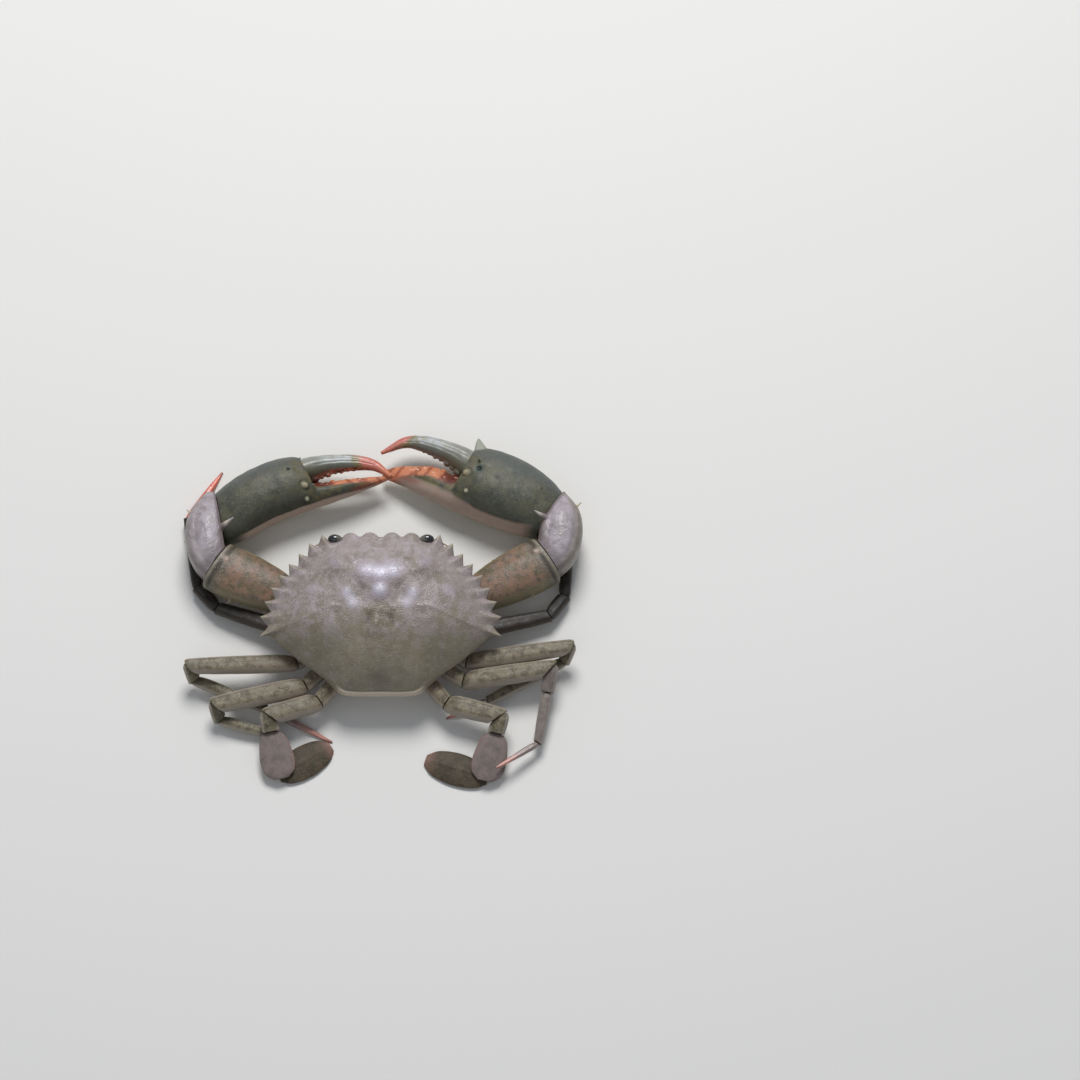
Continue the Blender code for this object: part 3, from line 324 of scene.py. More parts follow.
# The lip of a joint, as rings that are drawn in and pushed out, and the neck of skin in the next length
JOINT_LIP = ((0.12, 0.22), (0.2, 0.16), (0.3, 0.1), (0.5, -0.9))
LIP_ROOM = 0.5
NECK_HEIGHT = 1.5
NECK_TAPER = 0.15
RING_INSET = 0.004
MOST_DRAWN_IN = 0.8
# How strongly a length is narrowed at its joint, and over how far
LEG_NARROWING = (0.2, 2.4)
MERUS_NARROWING = (0.06, 2.0)
SOCKET_ROOM = 0.45  # between a movable finger and the palm's hollow for it
ROOT_FADE = 22.0  # how far the colour of a leg's root reaches

# Fineness of the skins, in millimetres
PALM_FINENESS = 0.55
FINGER_FINENESS = 0.42
ARM_FINENESS = 0.5
EYE_FINENESS = 0.22

# Sides and rings of the tubes
LEG_TUBE = (40, 60)
PLATE_TUBE = (72, 90)
BASE_TUBE = (56, 50)
ARM_TUBE = (72, 80)
CLAW_TUBE = (64, 90)
SPINE_TUBE = (14, 16)
FIN_TUBE = (20, 16)
STALK_TUBE = (24, 20)
ANTENNA_TUBE = (16, 320)

# The shell's front and rings
SHELL_TOP_RINGS = 130
TOOTH_COLUMNS = (58, 186)
SHELL_ROUGHNESS = (5.0, 0.16)  # size and height
# The raised border along the rear and the gutter before it: share of the way out, height
REAR_BORDER = (0.972, 0.9)
REAR_GUTTER = (0.938, 0.6)
REAR_LINE_WIDTH = 0.013
FRONT_LOBE_WIDTH = 5.2
FRONT_LOBE_REACH = 2.7
ORBIT_GAP = 0.2
ORBIT_DEPTH = 1.7
# Olive brown patches of the back: across, forward, radius, share
OLIVE_PATCHES = (
    (26.0, 27.0, 7.0, 0.6), (0.0, -5.0, 8.5, 0.9), (8.0, 0.0, 4.0, 0.5), (38.0, 22.0, 6.0, 0.4),
    (16.0, 33.0, 4.0, 0.35),
)
# Painted highlight: the brightest patches, in front of the middle, where the main light shines back
PAINTED_HIGHLIGHT_PATCHES = (
    (0.4, 23.6, 3.6, 0.42), (7.0, 25.0, 4.2, 0.55), (0.3, 13.0, 3.4, 0.4), (20.5, 10.0, 3.4, 0.4),
    (16.5, 5.0, 3.4, 0.4),
)
# Seams between the plates of the thorax, forward of the middle
THORAX_GROOVES = (10.0, -4.0, -16.0, -27.5)


def linear(channel):
    """A display colour channel from 0 to 1, as the linear value that shaders take."""
    return channel / 12.92 if channel <= 0.04045 else ((channel + 0.055) / 1.055) ** 2.4


def tone(red, green, blue):
    """A linear colour from display values up to 255."""
    return tuple(linear(channel / 255.0) for channel in (red, green, blue)) + (1.0,)


def chosen(colour):
    """A linear colour from a colour property."""
    return tuple(linear(channel) for channel in colour) + (1.0,)


def body_matrix():
    """From the shell's own plane to the room."""
    place = Matrix.Translation((BODY_ACROSS, BODY_FORWARD, BODY_HEIGHT))
    return place @ Matrix.Rotation(BODY_PITCH, 4, "X")


def in_room(point):
    """A point given from under the shell's middle, in the room."""
    return Vector(point) + Vector((BODY_ACROSS, BODY_FORWARD, 0.0))


def smooth_through(knots, t):
    """A smooth curve through (t, value) knots, whose values are numbers or vectors."""
    last = len(knots) - 1
    index = 0
    while index < last - 1 and t > knots[index + 1][0]:
        index += 1
    t0, p0 = knots[index]
    t1, p1 = knots[index + 1]
    span = t1 - t0
    before = knots[index - 1] if index > 0 else None
    after = knots[index + 2] if index + 2 <= last else None
    m0 = (p1 - before[1]) * (span / (t1 - before[0])) if before else p1 - p0
    m1 = (after[1] - p0) * (span / (after[0] - t0)) if after else p1 - p0
    x = (t - t0) / span
    return (p0 * (2 * x**3 - 3 * x**2 + 1) + m0 * (x**3 - 2 * x**2 + x)
            + p1 * (3 * x**2 - 2 * x**3) + m1 * (x**3 - x**2))


def knots_by_length(points):
    """Points as knots whose t runs from 0 to 1 with the distance along them."""
    vectors = [Vector(point) for point in points]
    lengths = [0.0]
    for a, b in zip(vectors, vectors[1:]):
        lengths.append(lengths[-1] + (b - a).length)
    return [(length / lengths[-1], vector) for length, vector in zip(lengths, vectors)]


RIM_KNOTS = knots_by_length(SHELL_RIM)


def step(values, low, high):
    """0 below low and 1 above high, with a soft step between them, for arrays."""
    x = np.clip((values - low) / (high - low), 0.0, 1.0)
    return x * x * (3.0 - 2.0 * x)


def spot(x, y, across, forward, radius):
    """A soft round spot, 1 at its middle, for arrays."""
    return np.exp(-((x - across) ** 2 + (y - forward) ** 2) / radius**2)


def line_distance(x, y, points):
    """How far each place is from a line through points, for arrays."""
    nearest = np.full(x.shape, 1e9)
    for (ax, ay), (bx, by) in zip(points, points[1:]):
        dx = bx - ax
        dy = by - ay
        share = np.clip(((x - ax) * dx + (y - ay) * dy) / (dx * dx + dy * dy), 0.0, 1.0)
        nearest = np.minimum(nearest, np.hypot(x - ax - share * dx, y - ay - share * dy))
    return nearest


def waves(places, size, height):
    """A gentle unevenness of a given size and height over places, all in millimetres."""
    return np.array([noise.noise(Vector(place) / size) for place in places.tolist()]) * height


def store(bm, name):
    """Stores a shape made in millimetres as a smooth object in metres."""
    bmesh.ops.triangulate(bm, faces=[face for face in bm.faces if len(face.verts) > 4])
    bmesh.ops.scale(bm, vec=(MM, MM, MM), verts=bm.verts)
    mesh = bpy.data.meshes.new(name)
    bm.to_mesh(mesh)
    bm.free()
    mesh.shade_smooth()
    piece = bpy.data.objects.new(name, mesh)
    bpy.context.scene.collection.objects.link(piece)
    return piece


def points_of(mesh):
    """Every point of a mesh, in millimetres."""
    places = np.zeros(len(mesh.vertices) * 3, np.float32)
    mesh.vertices.foreach_get("co", places)
    return places.reshape(-1, 3).astype(float) / MM


def facing_of(mesh):
    """The way that the skin faces at every point of a mesh."""
    facing = np.zeros(len(mesh.vertices) * 3, np.float32)
    mesh.vertex_normals.foreach_get("vector", facing)
    return facing.reshape(-1, 3).astype(float)


def move_points(mesh, places):
    """Puts every point of a mesh at a place given in millimetres."""
    mesh.vertices.foreach_set("co", (places * MM).astype(np.float32).ravel())
    mesh.update()


def raise_skin(mesh, heights):
    """Raises or lowers the skin by heights in millimetres, but never through the floor."""
    places = points_of(mesh) + facing_of(mesh) * heights[:, None]
    places[:, 2] = np.maximum(places[:, 2], 0.0)
    move_points(mesh, places)


def write_marks(mesh, **marks):
    """Stores named numbers for every point, for the materials to read."""
    for name, values in marks.items():
        mark = mesh.attributes.new(name, "FLOAT", "POINT")
        mark.data.foreach_set("value", np.asarray(values, np.float32))


def mesh_after(shape, *modifiers):
    """A shape in millimetres after modifiers, each given as a kind and its settings."""
    mesh = bpy.data.meshes.new("form")
    shape.to_mesh(mesh)
    shape.free()
    form = bpy.data.objects.new("form", mesh)
    bpy.context.scene.collection.objects.link(form)
    for kind, settings in modifiers:
        modifier = form.modifiers.new(kind.lower(), kind)
        for name, value in settings.items():
            setattr(modifier, name, value)
    bpy.context.view_layer.update()
    seen = form.evaluated_get(bpy.context.evaluated_depsgraph_get())
    result = bmesh.new()
    result.from_mesh(seen.to_mesh())
    seen.to_mesh_clear()
    bpy.data.objects.remove(form, do_unlink=True)
    bpy.data.meshes.remove(mesh)
    return result


def together(shapes):
    """Several shapes in one bmesh."""
    whole = bmesh.new()
    for shape in shapes:
        mesh = bpy.data.meshes.new("form")
        shape.to_mesh(mesh)
        shape.free()
        whole.from_mesh(mesh)
        bpy.data.meshes.remove(mesh)
    return whole


def melted(shapes, fineness, passes):
    """One even skin over shapes that overlap, at a fineness in millimetres."""
    remesh = {"mode": "VOXEL", "voxel_size": fineness}
    smooth = {"factor": 0.5, "iterations": passes}
    return mesh_after(together(shapes), ("REMESH", remesh), ("SMOOTH", smooth))


def combined(shape, tool, operation):
    """A shape with another joined to it or taken out of it."""
    mesh = bpy.data.meshes.new("tool")
    tool.to_mesh(mesh)
    tool.free()
    cutter = bpy.data.objects.new("tool", mesh)
    bpy.context.scene.collection.objects.link(cutter)
    settings = {"operation": operation, "object": cutter, "solver": "EXACT", "use_self": operation == "UNION"}
    result = mesh_after(shape, ("BOOLEAN", settings))
    bpy.data.objects.remove(cutter, do_unlink=True)
    bpy.data.meshes.remove(mesh)
    return result


def path_through(knots):
    """A path through (t, place) knots."""
    return lambda t: smooth_through(knots, t)


def sizes_through(knots):
    """Half width and half thickness through (t, pair) knots."""
    return lambda t: tuple(smooth_through(knots, t))


def straight(points, before=0.0, after=0.0):
    """A path through points that runs on past both ends."""
    vectors = [Vector(point) for point in points]
    first = (vectors[0] - vectors[1]).normalized() * before
    final = (vectors[-1] - vectors[-2]).normalized() * after
    vectors[0] = vectors[0] + first
    vectors[-1] = vectors[-1] + final
    return path_through(knots_by_length(vectors))


def sizes_from(pairs):
    """Half width and half thickness along a part, evenly spaced."""
    count = len(pairs) - 1
    return sizes_through([(number / count, Vector(pair)) for number, pair in enumerate(pairs)])


def swell_sizes(size, swell):
    """A rounded length of a leg: its width and thickness swell together."""
    width, thickness = size
    return sizes_through([(t, Vector((width * share, thickness * share))) for t, share in swell])


def plate_sizes(size, swell):
    """A flat plate: its width swells, and its thickness stays nearly even."""
    width, thickness = size
    even = PLATE_EVENNESS
    return sizes_through([(t, Vector((width * share, thickness * (even + (1.0 - even) * share))))
                          for t, share in swell])


def ellipse(turn, t):
    """A plain oval section."""
    return 1.0


def section(squareness, *grooves):
    """A section between an oval and a box, with grooves along it: turn in degrees, width, depth."""
    def swell(turn, t):
        plain = (abs(math.cos(turn)) ** squareness + abs(math.sin(turn)) ** squareness) ** (-1.0 / squareness)
        for middle, width, depth in grooves:
            away = math.degrees(turn) - middle
            away = (away + 180.0) % 360.0 - 180.0
            plain -= depth * math.exp(-(away / width) ** 2) * math.sin(math.pi * t) ** 0.4
        return plain
    return swell


def frame_at(path, t):
    """A path's middle, its heading and the two directions across it."""
    ahead = (path(min(1.0, t + 0.01)) - path(max(0.0, t - 0.01))).normalized()
    across = Vector((0, 0, 1)).cross(ahead).normalized()
    return path(t), ahead, across, ahead.cross(across)


def tube(path, sizes, sides, rings, shape=ellipse):
    """A closed tube from a UV sphere: path(t) is its middle, sizes(t) its half width and thickness."""
    bm = bmesh.new()
    bmesh.ops.create_uvsphere(bm, u_segments=sides, v_segments=rings, radius=1.0)
    frames = []
    for ring in range(rings + 1):
        t = max(0.0, min(1.0, (ring - 1) / (rings - 2)))
        frames.append((t, frame_at(path, t), sizes(t)))
    for vert in bm.verts:
        ring = round(math.acos(max(-1.0, min(1.0, vert.co.z))) / math.pi * rings)
        t, (middle, _, across, up), (width, thickness) = frames[ring]
        turn = math.atan2(vert.co.y, vert.co.x)
        if ring in (0, rings):
            width = thickness = 0.0
        swell = shape(turn, t)
        vert.co = (middle + across * (width * swell * math.cos(turn))
                   + up * (thickness * swell * math.sin(turn)))
    bmesh.ops.recalc_face_normals(bm, faces=bm.faces)
    return bm


def ball(middle, radii, sides=24, rings=16):
    """A rounded lump, with its radii along the room's axes or a frame's."""
    bm = bmesh.new()
    bmesh.ops.create_uvsphere(bm, u_segments=sides, v_segments=rings, radius=1.0)
    bmesh.ops.scale(bm, vec=radii, verts=bm.verts)
    bmesh.ops.translate(bm, vec=middle, verts=bm.verts)
    return bm


def spine(start, end, width):
    """A pointed spine that flares where it leaves the skin."""
    sizes = sizes_from([(width * share,) * 2 for share in SPINE_TAPER])
    return tube(straight((start, end)), sizes, *SPINE_TUBE)


def cut(bm, point, normal):
    """Keeps the side that normal points to, closes the cut flat and returns the faces that close it."""
    geometry = bm.verts[:] + bm.edges[:] + bm.faces[:]
    bmesh.ops.bisect_plane(bm, geom=geometry, dist=0.0001, plane_co=point, plane_no=normal, clear_inner=True)
    edges = [edge for edge in bm.edges if edge.is_boundary]
    filled = bmesh.ops.holes_fill(bm, edges=edges, sides=0)["faces"]
    bmesh.ops.recalc_face_normals(bm, faces=bm.faces)
    return filled


def joint_mark(bm):
    """The number at every point that tells joint skin from shell."""
    return bm.verts.layers.float.get("joint") or bm.verts.layers.float.new("joint")


def drawn_in(bm, caps, inward, outward):
    """Rings off the faces that close a cut, draws them in and pushes them out."""
    bmesh.ops.inset_region(bm, faces=caps, thickness=RING_INSET)
    for face in caps:
        middle = face.calc_center_median()
        radius = sum((vert.co - middle).length for vert in face.verts) / len(face.verts)
        step_out = face.normal * outward
        for vert in face.verts:
            vert.co = vert.co.lerp(middle, min(MOST_DRAWN_IN, inward / radius)) + step_out


def above_floor(bm):
    """Lifts to the floor whatever is below it."""
    for vert in bm.verts:
        vert.co.z = max(0.0, vert.co.z)


def joint_end(bm, point, normal, neck=0.0):
    """Cuts a limb for a joint with a rounded lip, and fills it with skin, or where asked a neck of skin."""
    mark = joint_mark(bm)
    caps = cut(bm, point + normal * (JOINT_GAP / 2 + LIP_ROOM), normal)
    for inward, outward in JOINT_LIP:
        drawn_in(bm, caps, inward, outward)
    for vert in {vert for face in caps for vert in face.verts}:
        vert[mark] = 1.0
    if neck:
        drawn_in(bm, caps, NECK_TAPER, neck)


def narrowed(bm, point, normal, path, amount, width):
    """Draws a limb in towards its middle near a cut, over a width along it."""
    samples = [path(number / 40) for number in range(41)]
    for vert in bm.verts:
        distance = abs((vert.co - point).dot(normal))
        if distance < width * 3:
            middle = min(samples, key=lambda sample: (sample - vert.co).length_squared)
            heading = (vert.co - middle) - normal * (vert.co - middle).dot(normal)
            vert.co -= heading * (amount * math.exp(-(distance / width) ** 2))


def rounded_past(bm, joint, heading, across, up, size):
    """Rounds off what runs past a joint, so that a bent joint has a round elbow."""
    width, thickness = size[0] * ELBOW_FULLNESS, size[1] * ELBOW_FULLNESS
    for vert in bm.verts:
        offset = vert.co - joint
        past = offset.dot(heading)
        if past > 0.0:
            spread = math.hypot(offset.dot(across) / width, offset.dot(up) / thickness)
            total = (past / width) ** ELBOW_SQUARENESS + spread**ELBOW_SQUARENESS
            if total > 1.0:
                vert.co = joint + offset * total ** (-1.0 / ELBOW_SQUARENESS)


def limb_marks(mesh, path, sizes):
    """How far along a limb each point is, and how far across and up, from -1 to 1."""
    places = points_of(mesh)
    frames = [frame_at(path, number / 120) for number in range(121)]
    middles = np.array([tuple(frame[0]) for frame in frames])
    nearest = np.argmin(((places[:, None, :] - middles[None, :, :]) ** 2).sum(2), 1)
    offset = places - middles[nearest]
    size = np.array([sizes(number / 120) for number in range(121)])[nearest]
    across = (offset * np.array([tuple(frame[2]) for frame in frames])[nearest]).sum(1) / size[:, 0]
    up = (offset * np.array([tuple(frame[3]) for frame in frames])[nearest]).sum(1) / size[:, 1]
    return nearest / 120.0, across, up


def finish_piece(piece, material, node):
    """Gives a finished piece its material, its body and the node that it stands for."""
    piece.data.materials.clear()
    piece.data.materials.append(material)
    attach(piece, BODY)
    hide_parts(node)
    return piece


class Finish:
    """One material made of nodes: colours laid over each other, and bumps added up."""

    def __init__(self, name, colour, roughness, coat=0.0, coat_roughness=0.25, level=0.5):
        self.material = bpy.data.materials.new(name)
        self.material.use_nodes = True
        self.tree = self.material.node_tree
        self.shader = self.tree.nodes["Principled BSDF"]
        self.shader.inputs["Roughness"].default_value = roughness
        self.shader.inputs["Coat Weight"].default_value = coat
        self.shader.inputs["Coat Roughness"].default_value = coat_roughness
        self.shader.inputs["Specular IOR Level"].default_value = level
        self.place = self.tree.nodes.new("ShaderNodeTexCoord").outputs["Object"]
        self.colour = colour
        self.normal = None

    def put(self, value, socket):
        """Sets a socket from another node's output, or to a plain value."""
        if isinstance(value, bpy.types.NodeSocket):
            self.tree.links.new(value, socket)
        else:
            socket.default_value = value

    def mark(self, name):
        """A number that is stored for every point of the skin."""
        node = self.tree.nodes.new("ShaderNodeAttribute")
        node.attribute_name = name
        return node.outputs["Fac"]

    def cloud(self, size, detail=3.0, roughness=0.55, distortion=0.0):
        """A cloudy pattern whose patches are about a size in millimetres."""
        node = self.tree.nodes.new("ShaderNodeTexNoise")
        node.inputs["Scale"].default_value = 1.0 / (size * MM)
        node.inputs["Detail"].default_value = detail
        node.inputs["Roughness"].default_value = roughness
        node.inputs["Distortion"].default_value = distortion
        self.put(self.place, node.inputs["Vector"])
        return node.outputs["Fac"]

    def grains(self, size, feature="F1", randomness=1.0):
        """Distance from the grains of a pattern about a size in millimetres apart."""
        node = self.tree.nodes.new("ShaderNodeTexVoronoi")
        node.feature = feature
        node.inputs["Scale"].default_value = 1.0 / (size * MM)
        node.inputs["Randomness"].default_value = randomness
        self.put(self.place, node.inputs["Vector"])
        return node.outputs["Distance"]

    def band(self, value, low, high, start=0.0, end=1.0):
        """A soft step from start to end as a value goes from low to high."""
        node = self.tree.nodes.new("ShaderNodeMapRange")
        node.interpolation_type = "SMOOTHSTEP"
        self.put(value, node.inputs["Value"])
        for name, number in (("From Min", low), ("From Max", high), ("To Min", start), ("To Max", end)):
            node.inputs[name].default_value = number
        return node.outputs["Result"]

    def marked(self, name, low, high, start=0.0, end=1.0):
        """A soft step from start to end as a mark of the skin goes from low to high."""
        return self.band(self.mark(name), low, high, start, end)

    def maths(self, operation, a, b=0.0):
        """The result of one operation on two values."""
        node = self.tree.nodes.new("ShaderNodeMath")
        node.operation = operation
        self.put(a, node.inputs[0])
        self.put(b, node.inputs[1])
        return node.outputs[0]

    def times(self, a, b):
        """The product of two values."""
        return self.maths("MULTIPLY", a, b)

    def plus(self, a, b):
        """The sum of two values."""
        return self.maths("ADD", a, b)

    def from_middle(self):
        """How far each point is from a limb's middle line, 1 at its sides."""
        return self.maths("ABSOLUTE", self.mark("across"))

    def blend(self, share, a, b):
        """A colour between two colours."""
        node = self.tree.nodes.new("ShaderNodeMix")
        node.data_type = "RGBA"
        self.put(share, node.inputs["Factor"])
        self.put(a, node.inputs[6])
        self.put(b, node.inputs[7])
        return node.outputs[2]

    def tint(self, share, colour):
        """Lays a colour over those before it, by a share from 0 to 1."""
        self.colour = self.blend(share, self.colour, colour)

    def joint_skin(self):
        """Lays on the dark brown skin that shows in a joint."""
        self.tint(self.mark("joint"), tone(58, 34, 26))

    def granules(self, size, width, depth):
        """Adds round granules a size apart, with a depth in millimetres."""
        self.relief(self.band(self.grains(size), 0.0, width, 1.0, 0.0), depth)

    def relief(self, height, depth):
        """Adds a bump of a depth in millimetres on top of those before it."""
        node = self.tree.nodes.new("ShaderNodeBump")
        node.inputs["Distance"].default_value = depth * MM
        self.put(height, node.inputs["Height"])
        if self.normal:
            self.put(self.normal, node.inputs["Normal"])
        self.normal = node.outputs["Normal"]

    def done(self, roughness=None):
        """Connects the colour, the bumps and any change of roughness, and gives the material."""
        self.put(self.colour, self.shader.inputs["Base Color"])
        if roughness is not None:
            self.put(roughness, self.shader.inputs["Roughness"])
        if self.normal:
            self.put(self.normal, self.shader.inputs["Normal"])
            self.put(self.normal, self.shader.inputs["Coat Normal"])
        return self.material


def rim_push(place, tooth_reach, spine_reach):
    """How far the side teeth push the rim out at a place, and how near it is to a tooth's tip."""
    first = RIM_KNOTS[FIRST_TOOTH_KNOT][0]
    last = RIM_KNOTS[LAST_TOOTH_KNOT][0]
    spacing = (last - first) / (SIDE_TEETH - 1)
    number = max(0, min(SIDE_TEETH - 1, round((place - first) / spacing)))
    root = first + number * spacing
    fall = max(0.0, 1.0 - abs(place - root) / (spacing * 0.5))
    along = (smooth_through(RIM_KNOTS, root + 0.01) - smooth_through(RIM_KNOTS, root - 0.01)).normalized()
    outward = Vector((-along.y, along.x))
    lean = TOOTH_FORWARD_LEAN * (1.0 - number / (SIDE_TEETH - 1))
    heading = (outward - along * lean).normalized()
    if number == SIDE_TEETH - 1:
        return heading * (spine_reach * fall**1.5), fall**2
    return heading * (tooth_reach * fall**1.12), fall**2


def front_push(across):
    """How far the rim stands forward at a place across: four blunt lobes, and back at the eyes."""
    push = 0.0
    for lobe in FRONT_LOBES:
        away = abs(across - lobe) / FRONT_LOBE_WIDTH
        push += FRONT_LOBE_REACH * max(0.0, 1.0 - away**2.2)
    away = abs(across - EYE_ACROSS) / (EYE_RADII[0] + ORBIT_GAP)
    return push - ORBIT_DEPTH * max(0.0, 1.0 - away**2) ** 0.5


def shell_columns(tooth_reach, spine_reach):
    """For each column of the right half: the rim, how far it is pushed, and how near a tip it is."""
    half = SHELL_SIDES // 2
    first = RIM_KNOTS[FIRST_TOOTH_KNOT][0]
    last = RIM_KNOTS[LAST_TOOTH_KNOT][0]
    places = np.interp(np.arange(half + 1), (0, *TOOTH_COLUMNS, half), (0.0, first, last, 1.0))
    rows = []
    for place in places:
        rim = smooth_through(RIM_KNOTS, float(place))
        push, tip = rim_push(float(place), tooth_reach, spine_reach)
        if place < first - 0.02:
            lobe = front_push(rim.x)
            push = push + Vector((0.0, lobe))
            tip = max(0.0, lobe / FRONT_LOBE_REACH) * 0.25
        rows.append((rim.x, rim.y, push.x, push.y, tip))
    return np.array(rows)


def shell_level(x, y, reach):
    """Height of the dome and of the relief of its regions, above the rim."""
    level = DOME_HEIGHT * np.maximum(0.0, 1.0 - reach**2.2) ** 0.78
    fade = 1.0 - reach**6
    for across, forward, radius, height in SHELL_SWELLINGS:
        for side in {across, -across}:
            level += height * fade * spot(x, y, side, forward, radius)
    relief = np.zeros(x.shape)
    for across, forward, radius, height in SHELL_RELIEF:
        for side in {across, -across}:
            relief += height * spot(x, y, side, forward, radius)
    for height, width, points in SHELL_RIDGES:
        for side in (1, -1):
            line = [(px * side, py) for px, py in points]
            relief += height * np.exp(-(line_distance(x, y, line) / width) ** 2)
    return level, relief * np.minimum(1.0, fade * 1.6)


def shell_places(tooth_reach, spine_reach, relief_share):
    """Every point of the shell in its own plane, and the marks for its colours."""
    bm = bmesh.new()
    bmesh.ops.create_uvsphere(bm, u_segments=SHELL_SIDES, v_segments=SHELL_RINGS, radius=1.0)
    piece = store(bm, "carapace")
    sphere = points_of(piece.data)
    turn = (np.arctan2(sphere[:, 0], sphere[:, 1]) / math.tau) % 1.0
    column = np.round(turn * SHELL_SIDES).astype(int) % SHELL_SIDES
    side = np.where(column <= SHELL_SIDES // 2, 1.0, -1.0)
    half = np.minimum(column, SHELL_SIDES - column)
    ring = np.round(np.arccos(np.clip(sphere[:, 2], -1.0, 1.0)) / math.pi * SHELL_RINGS)
    top = ring <= SHELL_TOP_RINGS
    over = 1.0 - (1.0 - np.clip(ring / SHELL_TOP_RINGS, 0, 1)) ** 1.12
    below = 1.0 - (1.0 - (SHELL_RINGS - ring) / (SHELL_RINGS - SHELL_TOP_RINGS)) ** 1.5
    reach = np.where(top, over, np.clip(below, 0.0, 1.0))
    rows = shell_columns(tooth_reach, spine_reach)[half]
    x = rows[:, 0] * side * reach
    y = rows[:, 1] * reach
    level, relief = shell_level(x, y, reach)
    behind = step(-y, 44.0, 49.0) * (1.0 - step(np.abs(x), 25.0, 31.0))
    border, gutter = [height * np.exp(-((reach - place) / REAR_LINE_WIDTH) ** 2) * behind
                      for place, height in (REAR_BORDER, REAR_GUTTER)]
    influence = np.clip((reach - 0.84) / 0.16, 0.0, 1.0) ** 1.5
    tip = rows[:, 4] * step(reach, 0.90, 1.0)
    rough = waves(np.column_stack((x, y, np.zeros(x.shape))), *SHELL_ROUGHNESS)
    z = level + relief * relief_share + border - gutter + rough * (1.0 - reach**8)
    z = np.where(top, z + tip * 0.6, SHELL_FLOOR * step(1.0 - reach, 0.0, 0.05) + tip * 0.3)
    places = np.column_stack((x + rows[:, 2] * side * influence, y + rows[:, 3] * influence, z))
    marks = {
        "tip": tip, "rear": 1.0 - step(y, -42.0, 26.0), "relief": relief, "under": 1.0 - top,
        "border": step(reach, 0.944, 0.968) * behind * 0.85, "edge": step(reach, 0.955, 0.995),
        "olive": patches(x, y, OLIVE_PATCHES), "painted_highlight": patches(x, y, PAINTED_HIGHLIGHT_PATCHES),
        "sides": step(np.abs(x), 14.0, 46.0),
    }
    return piece, places, marks


def patches(x, y, places):
    """Soft patches on both sides of the back, each with its share of a colour."""
    share = np.zeros(x.shape)
    for across, forward, radius, amount in places:
        for side in {across, -across}:
            share += amount * spot(x, y, side, forward, radius)
    return np.clip(share, 0.0, 1.0)


def build_shell(settings):
    piece, places, marks = shell_places(settings.tooth_reach / MM, settings.spine_reach / MM, settings.relief)
    matrix = np.array(body_matrix())
    move_points(piece.data, places @ matrix[:3, :3].T + matrix[:3, 3])
    write_marks(piece.data, **marks)
    finish_piece(piece, shell_finish(settings), "carapace")


def shell_finish(settings):
    """Satin shell: lilac grey in front to olive grey behind, mottled, with granules and pale tips, a painted
    highlight in front of the middle, lilac that is partly painted highlight on the raised bumps, and painted
    shade in the grooves.
    """
    finish = Finish("crab_shell", chosen(settings.front_colour), 0.42, coat=0.3, coat_roughness=0.3)
    drift = finish.times(finish.cloud(14.0, 4.0), 0.9)
    share = finish.plus(finish.mark("rear"), drift)
    share = finish.band(share, 0.25, 1.35)
    finish.tint(share, chosen(settings.rear_colour))
    mottle = finish.band(finish.cloud(8.5, 3.5, 0.55, 0.4), 0.42, 0.64, 0.0, 0.42)
    finish.tint(mottle, tone(112, 100, 82))
    lilac = finish.band(finish.cloud(6.2, 3.0, 0.5, 0.6), 0.48, 0.66, 0.0, 0.45)
    lilac = finish.times(lilac, finish.marked("rear", 0.95, 0.3, 0.25, 1.0))
    finish.tint(lilac, tone(174, 160, 166))
    grit = finish.band(finish.cloud(2.2, 2.0, 0.6), 0.5, 0.68, 0.0, 0.2)
    finish.tint(grit, tone(92, 82, 70))
    glint = finish.band(finish.cloud(2.4, 2.0, 0.5), 0.42, 0.3, 0.0, 0.2)
    finish.tint(glint, tone(186, 178, 178))
    pale = finish.band(finish.cloud(8.0, 3.0, 0.6, 0.6), 0.5, 0.7, 0.0, 0.45)
    pale = finish.times(pale, finish.marked("rear", 0.75, 0.25))
    finish.tint(pale, tone(180, 170, 172))
    olive = finish.times(finish.mark("olive"), finish.band(finish.cloud(4.0, 4.0), 0.32, 0.56))
    finish.tint(olive, tone(92, 82, 52))
    # Lilac tint on the raised bumps, partly a painted highlight where their tops catch the light
    raised = finish.marked("relief", 0.15, 0.95, 0.0, 0.5)
    raised = finish.times(raised, finish.marked("rear", 0.85, 0.45))
    finish.tint(raised, tone(178, 166, 182))
    # Painted highlight: near white patches in front of the middle, where the main light shines back
    painted_highlight = finish.times(finish.mark("painted_highlight"), finish.band(finish.cloud(2.4), 0.3, 0.6, 0.6, 1.0))
    finish.tint(painted_highlight, tone(226, 222, 236))
    # Painted shade: darker brown in the grooves of the back
    sunk = finish.marked("relief", -0.12, -0.8, 0.0, 0.75)
    finish.tint(sunk, tone(84, 74, 66))
    specks = finish.band(finish.grains(1.5), 0.3, 0.12, 0.0, 0.32)
    specks = finish.times(specks, finish.mark("sides"))
    finish.tint(specks, tone(92, 86, 82))
    finish.tint(finish.marked("tip", 0.35, 0.9, 0.0, 0.7), tone(180, 170, 144))
    finish.tint(finish.mark("border"), tone(196, 182, 162))
    finish.tint(finish.mark("under"), tone(190, 178, 152))
    finish.granules(settings.granule_size / MM, 0.55, 0.2)
    finish.relief(finish.cloud(0.9, 3.0), 0.1)
    sheen = finish.band(finish.cloud(7.0, 3.0), 0.3, 0.7, 0.32, 0.46)
    return finish.done(sheen)


def core_surface():
    """The plain body under the shell, on which limbs and plates are placed."""
    bm = bmesh.new()
    bmesh.ops.create_uvsphere(bm, u_segments=96, v_segments=44, radius=1.0)
    shape_core(bm, 0.0)
    surface = BVHTree.FromBMesh(bm)
    bm.free()
    return surface


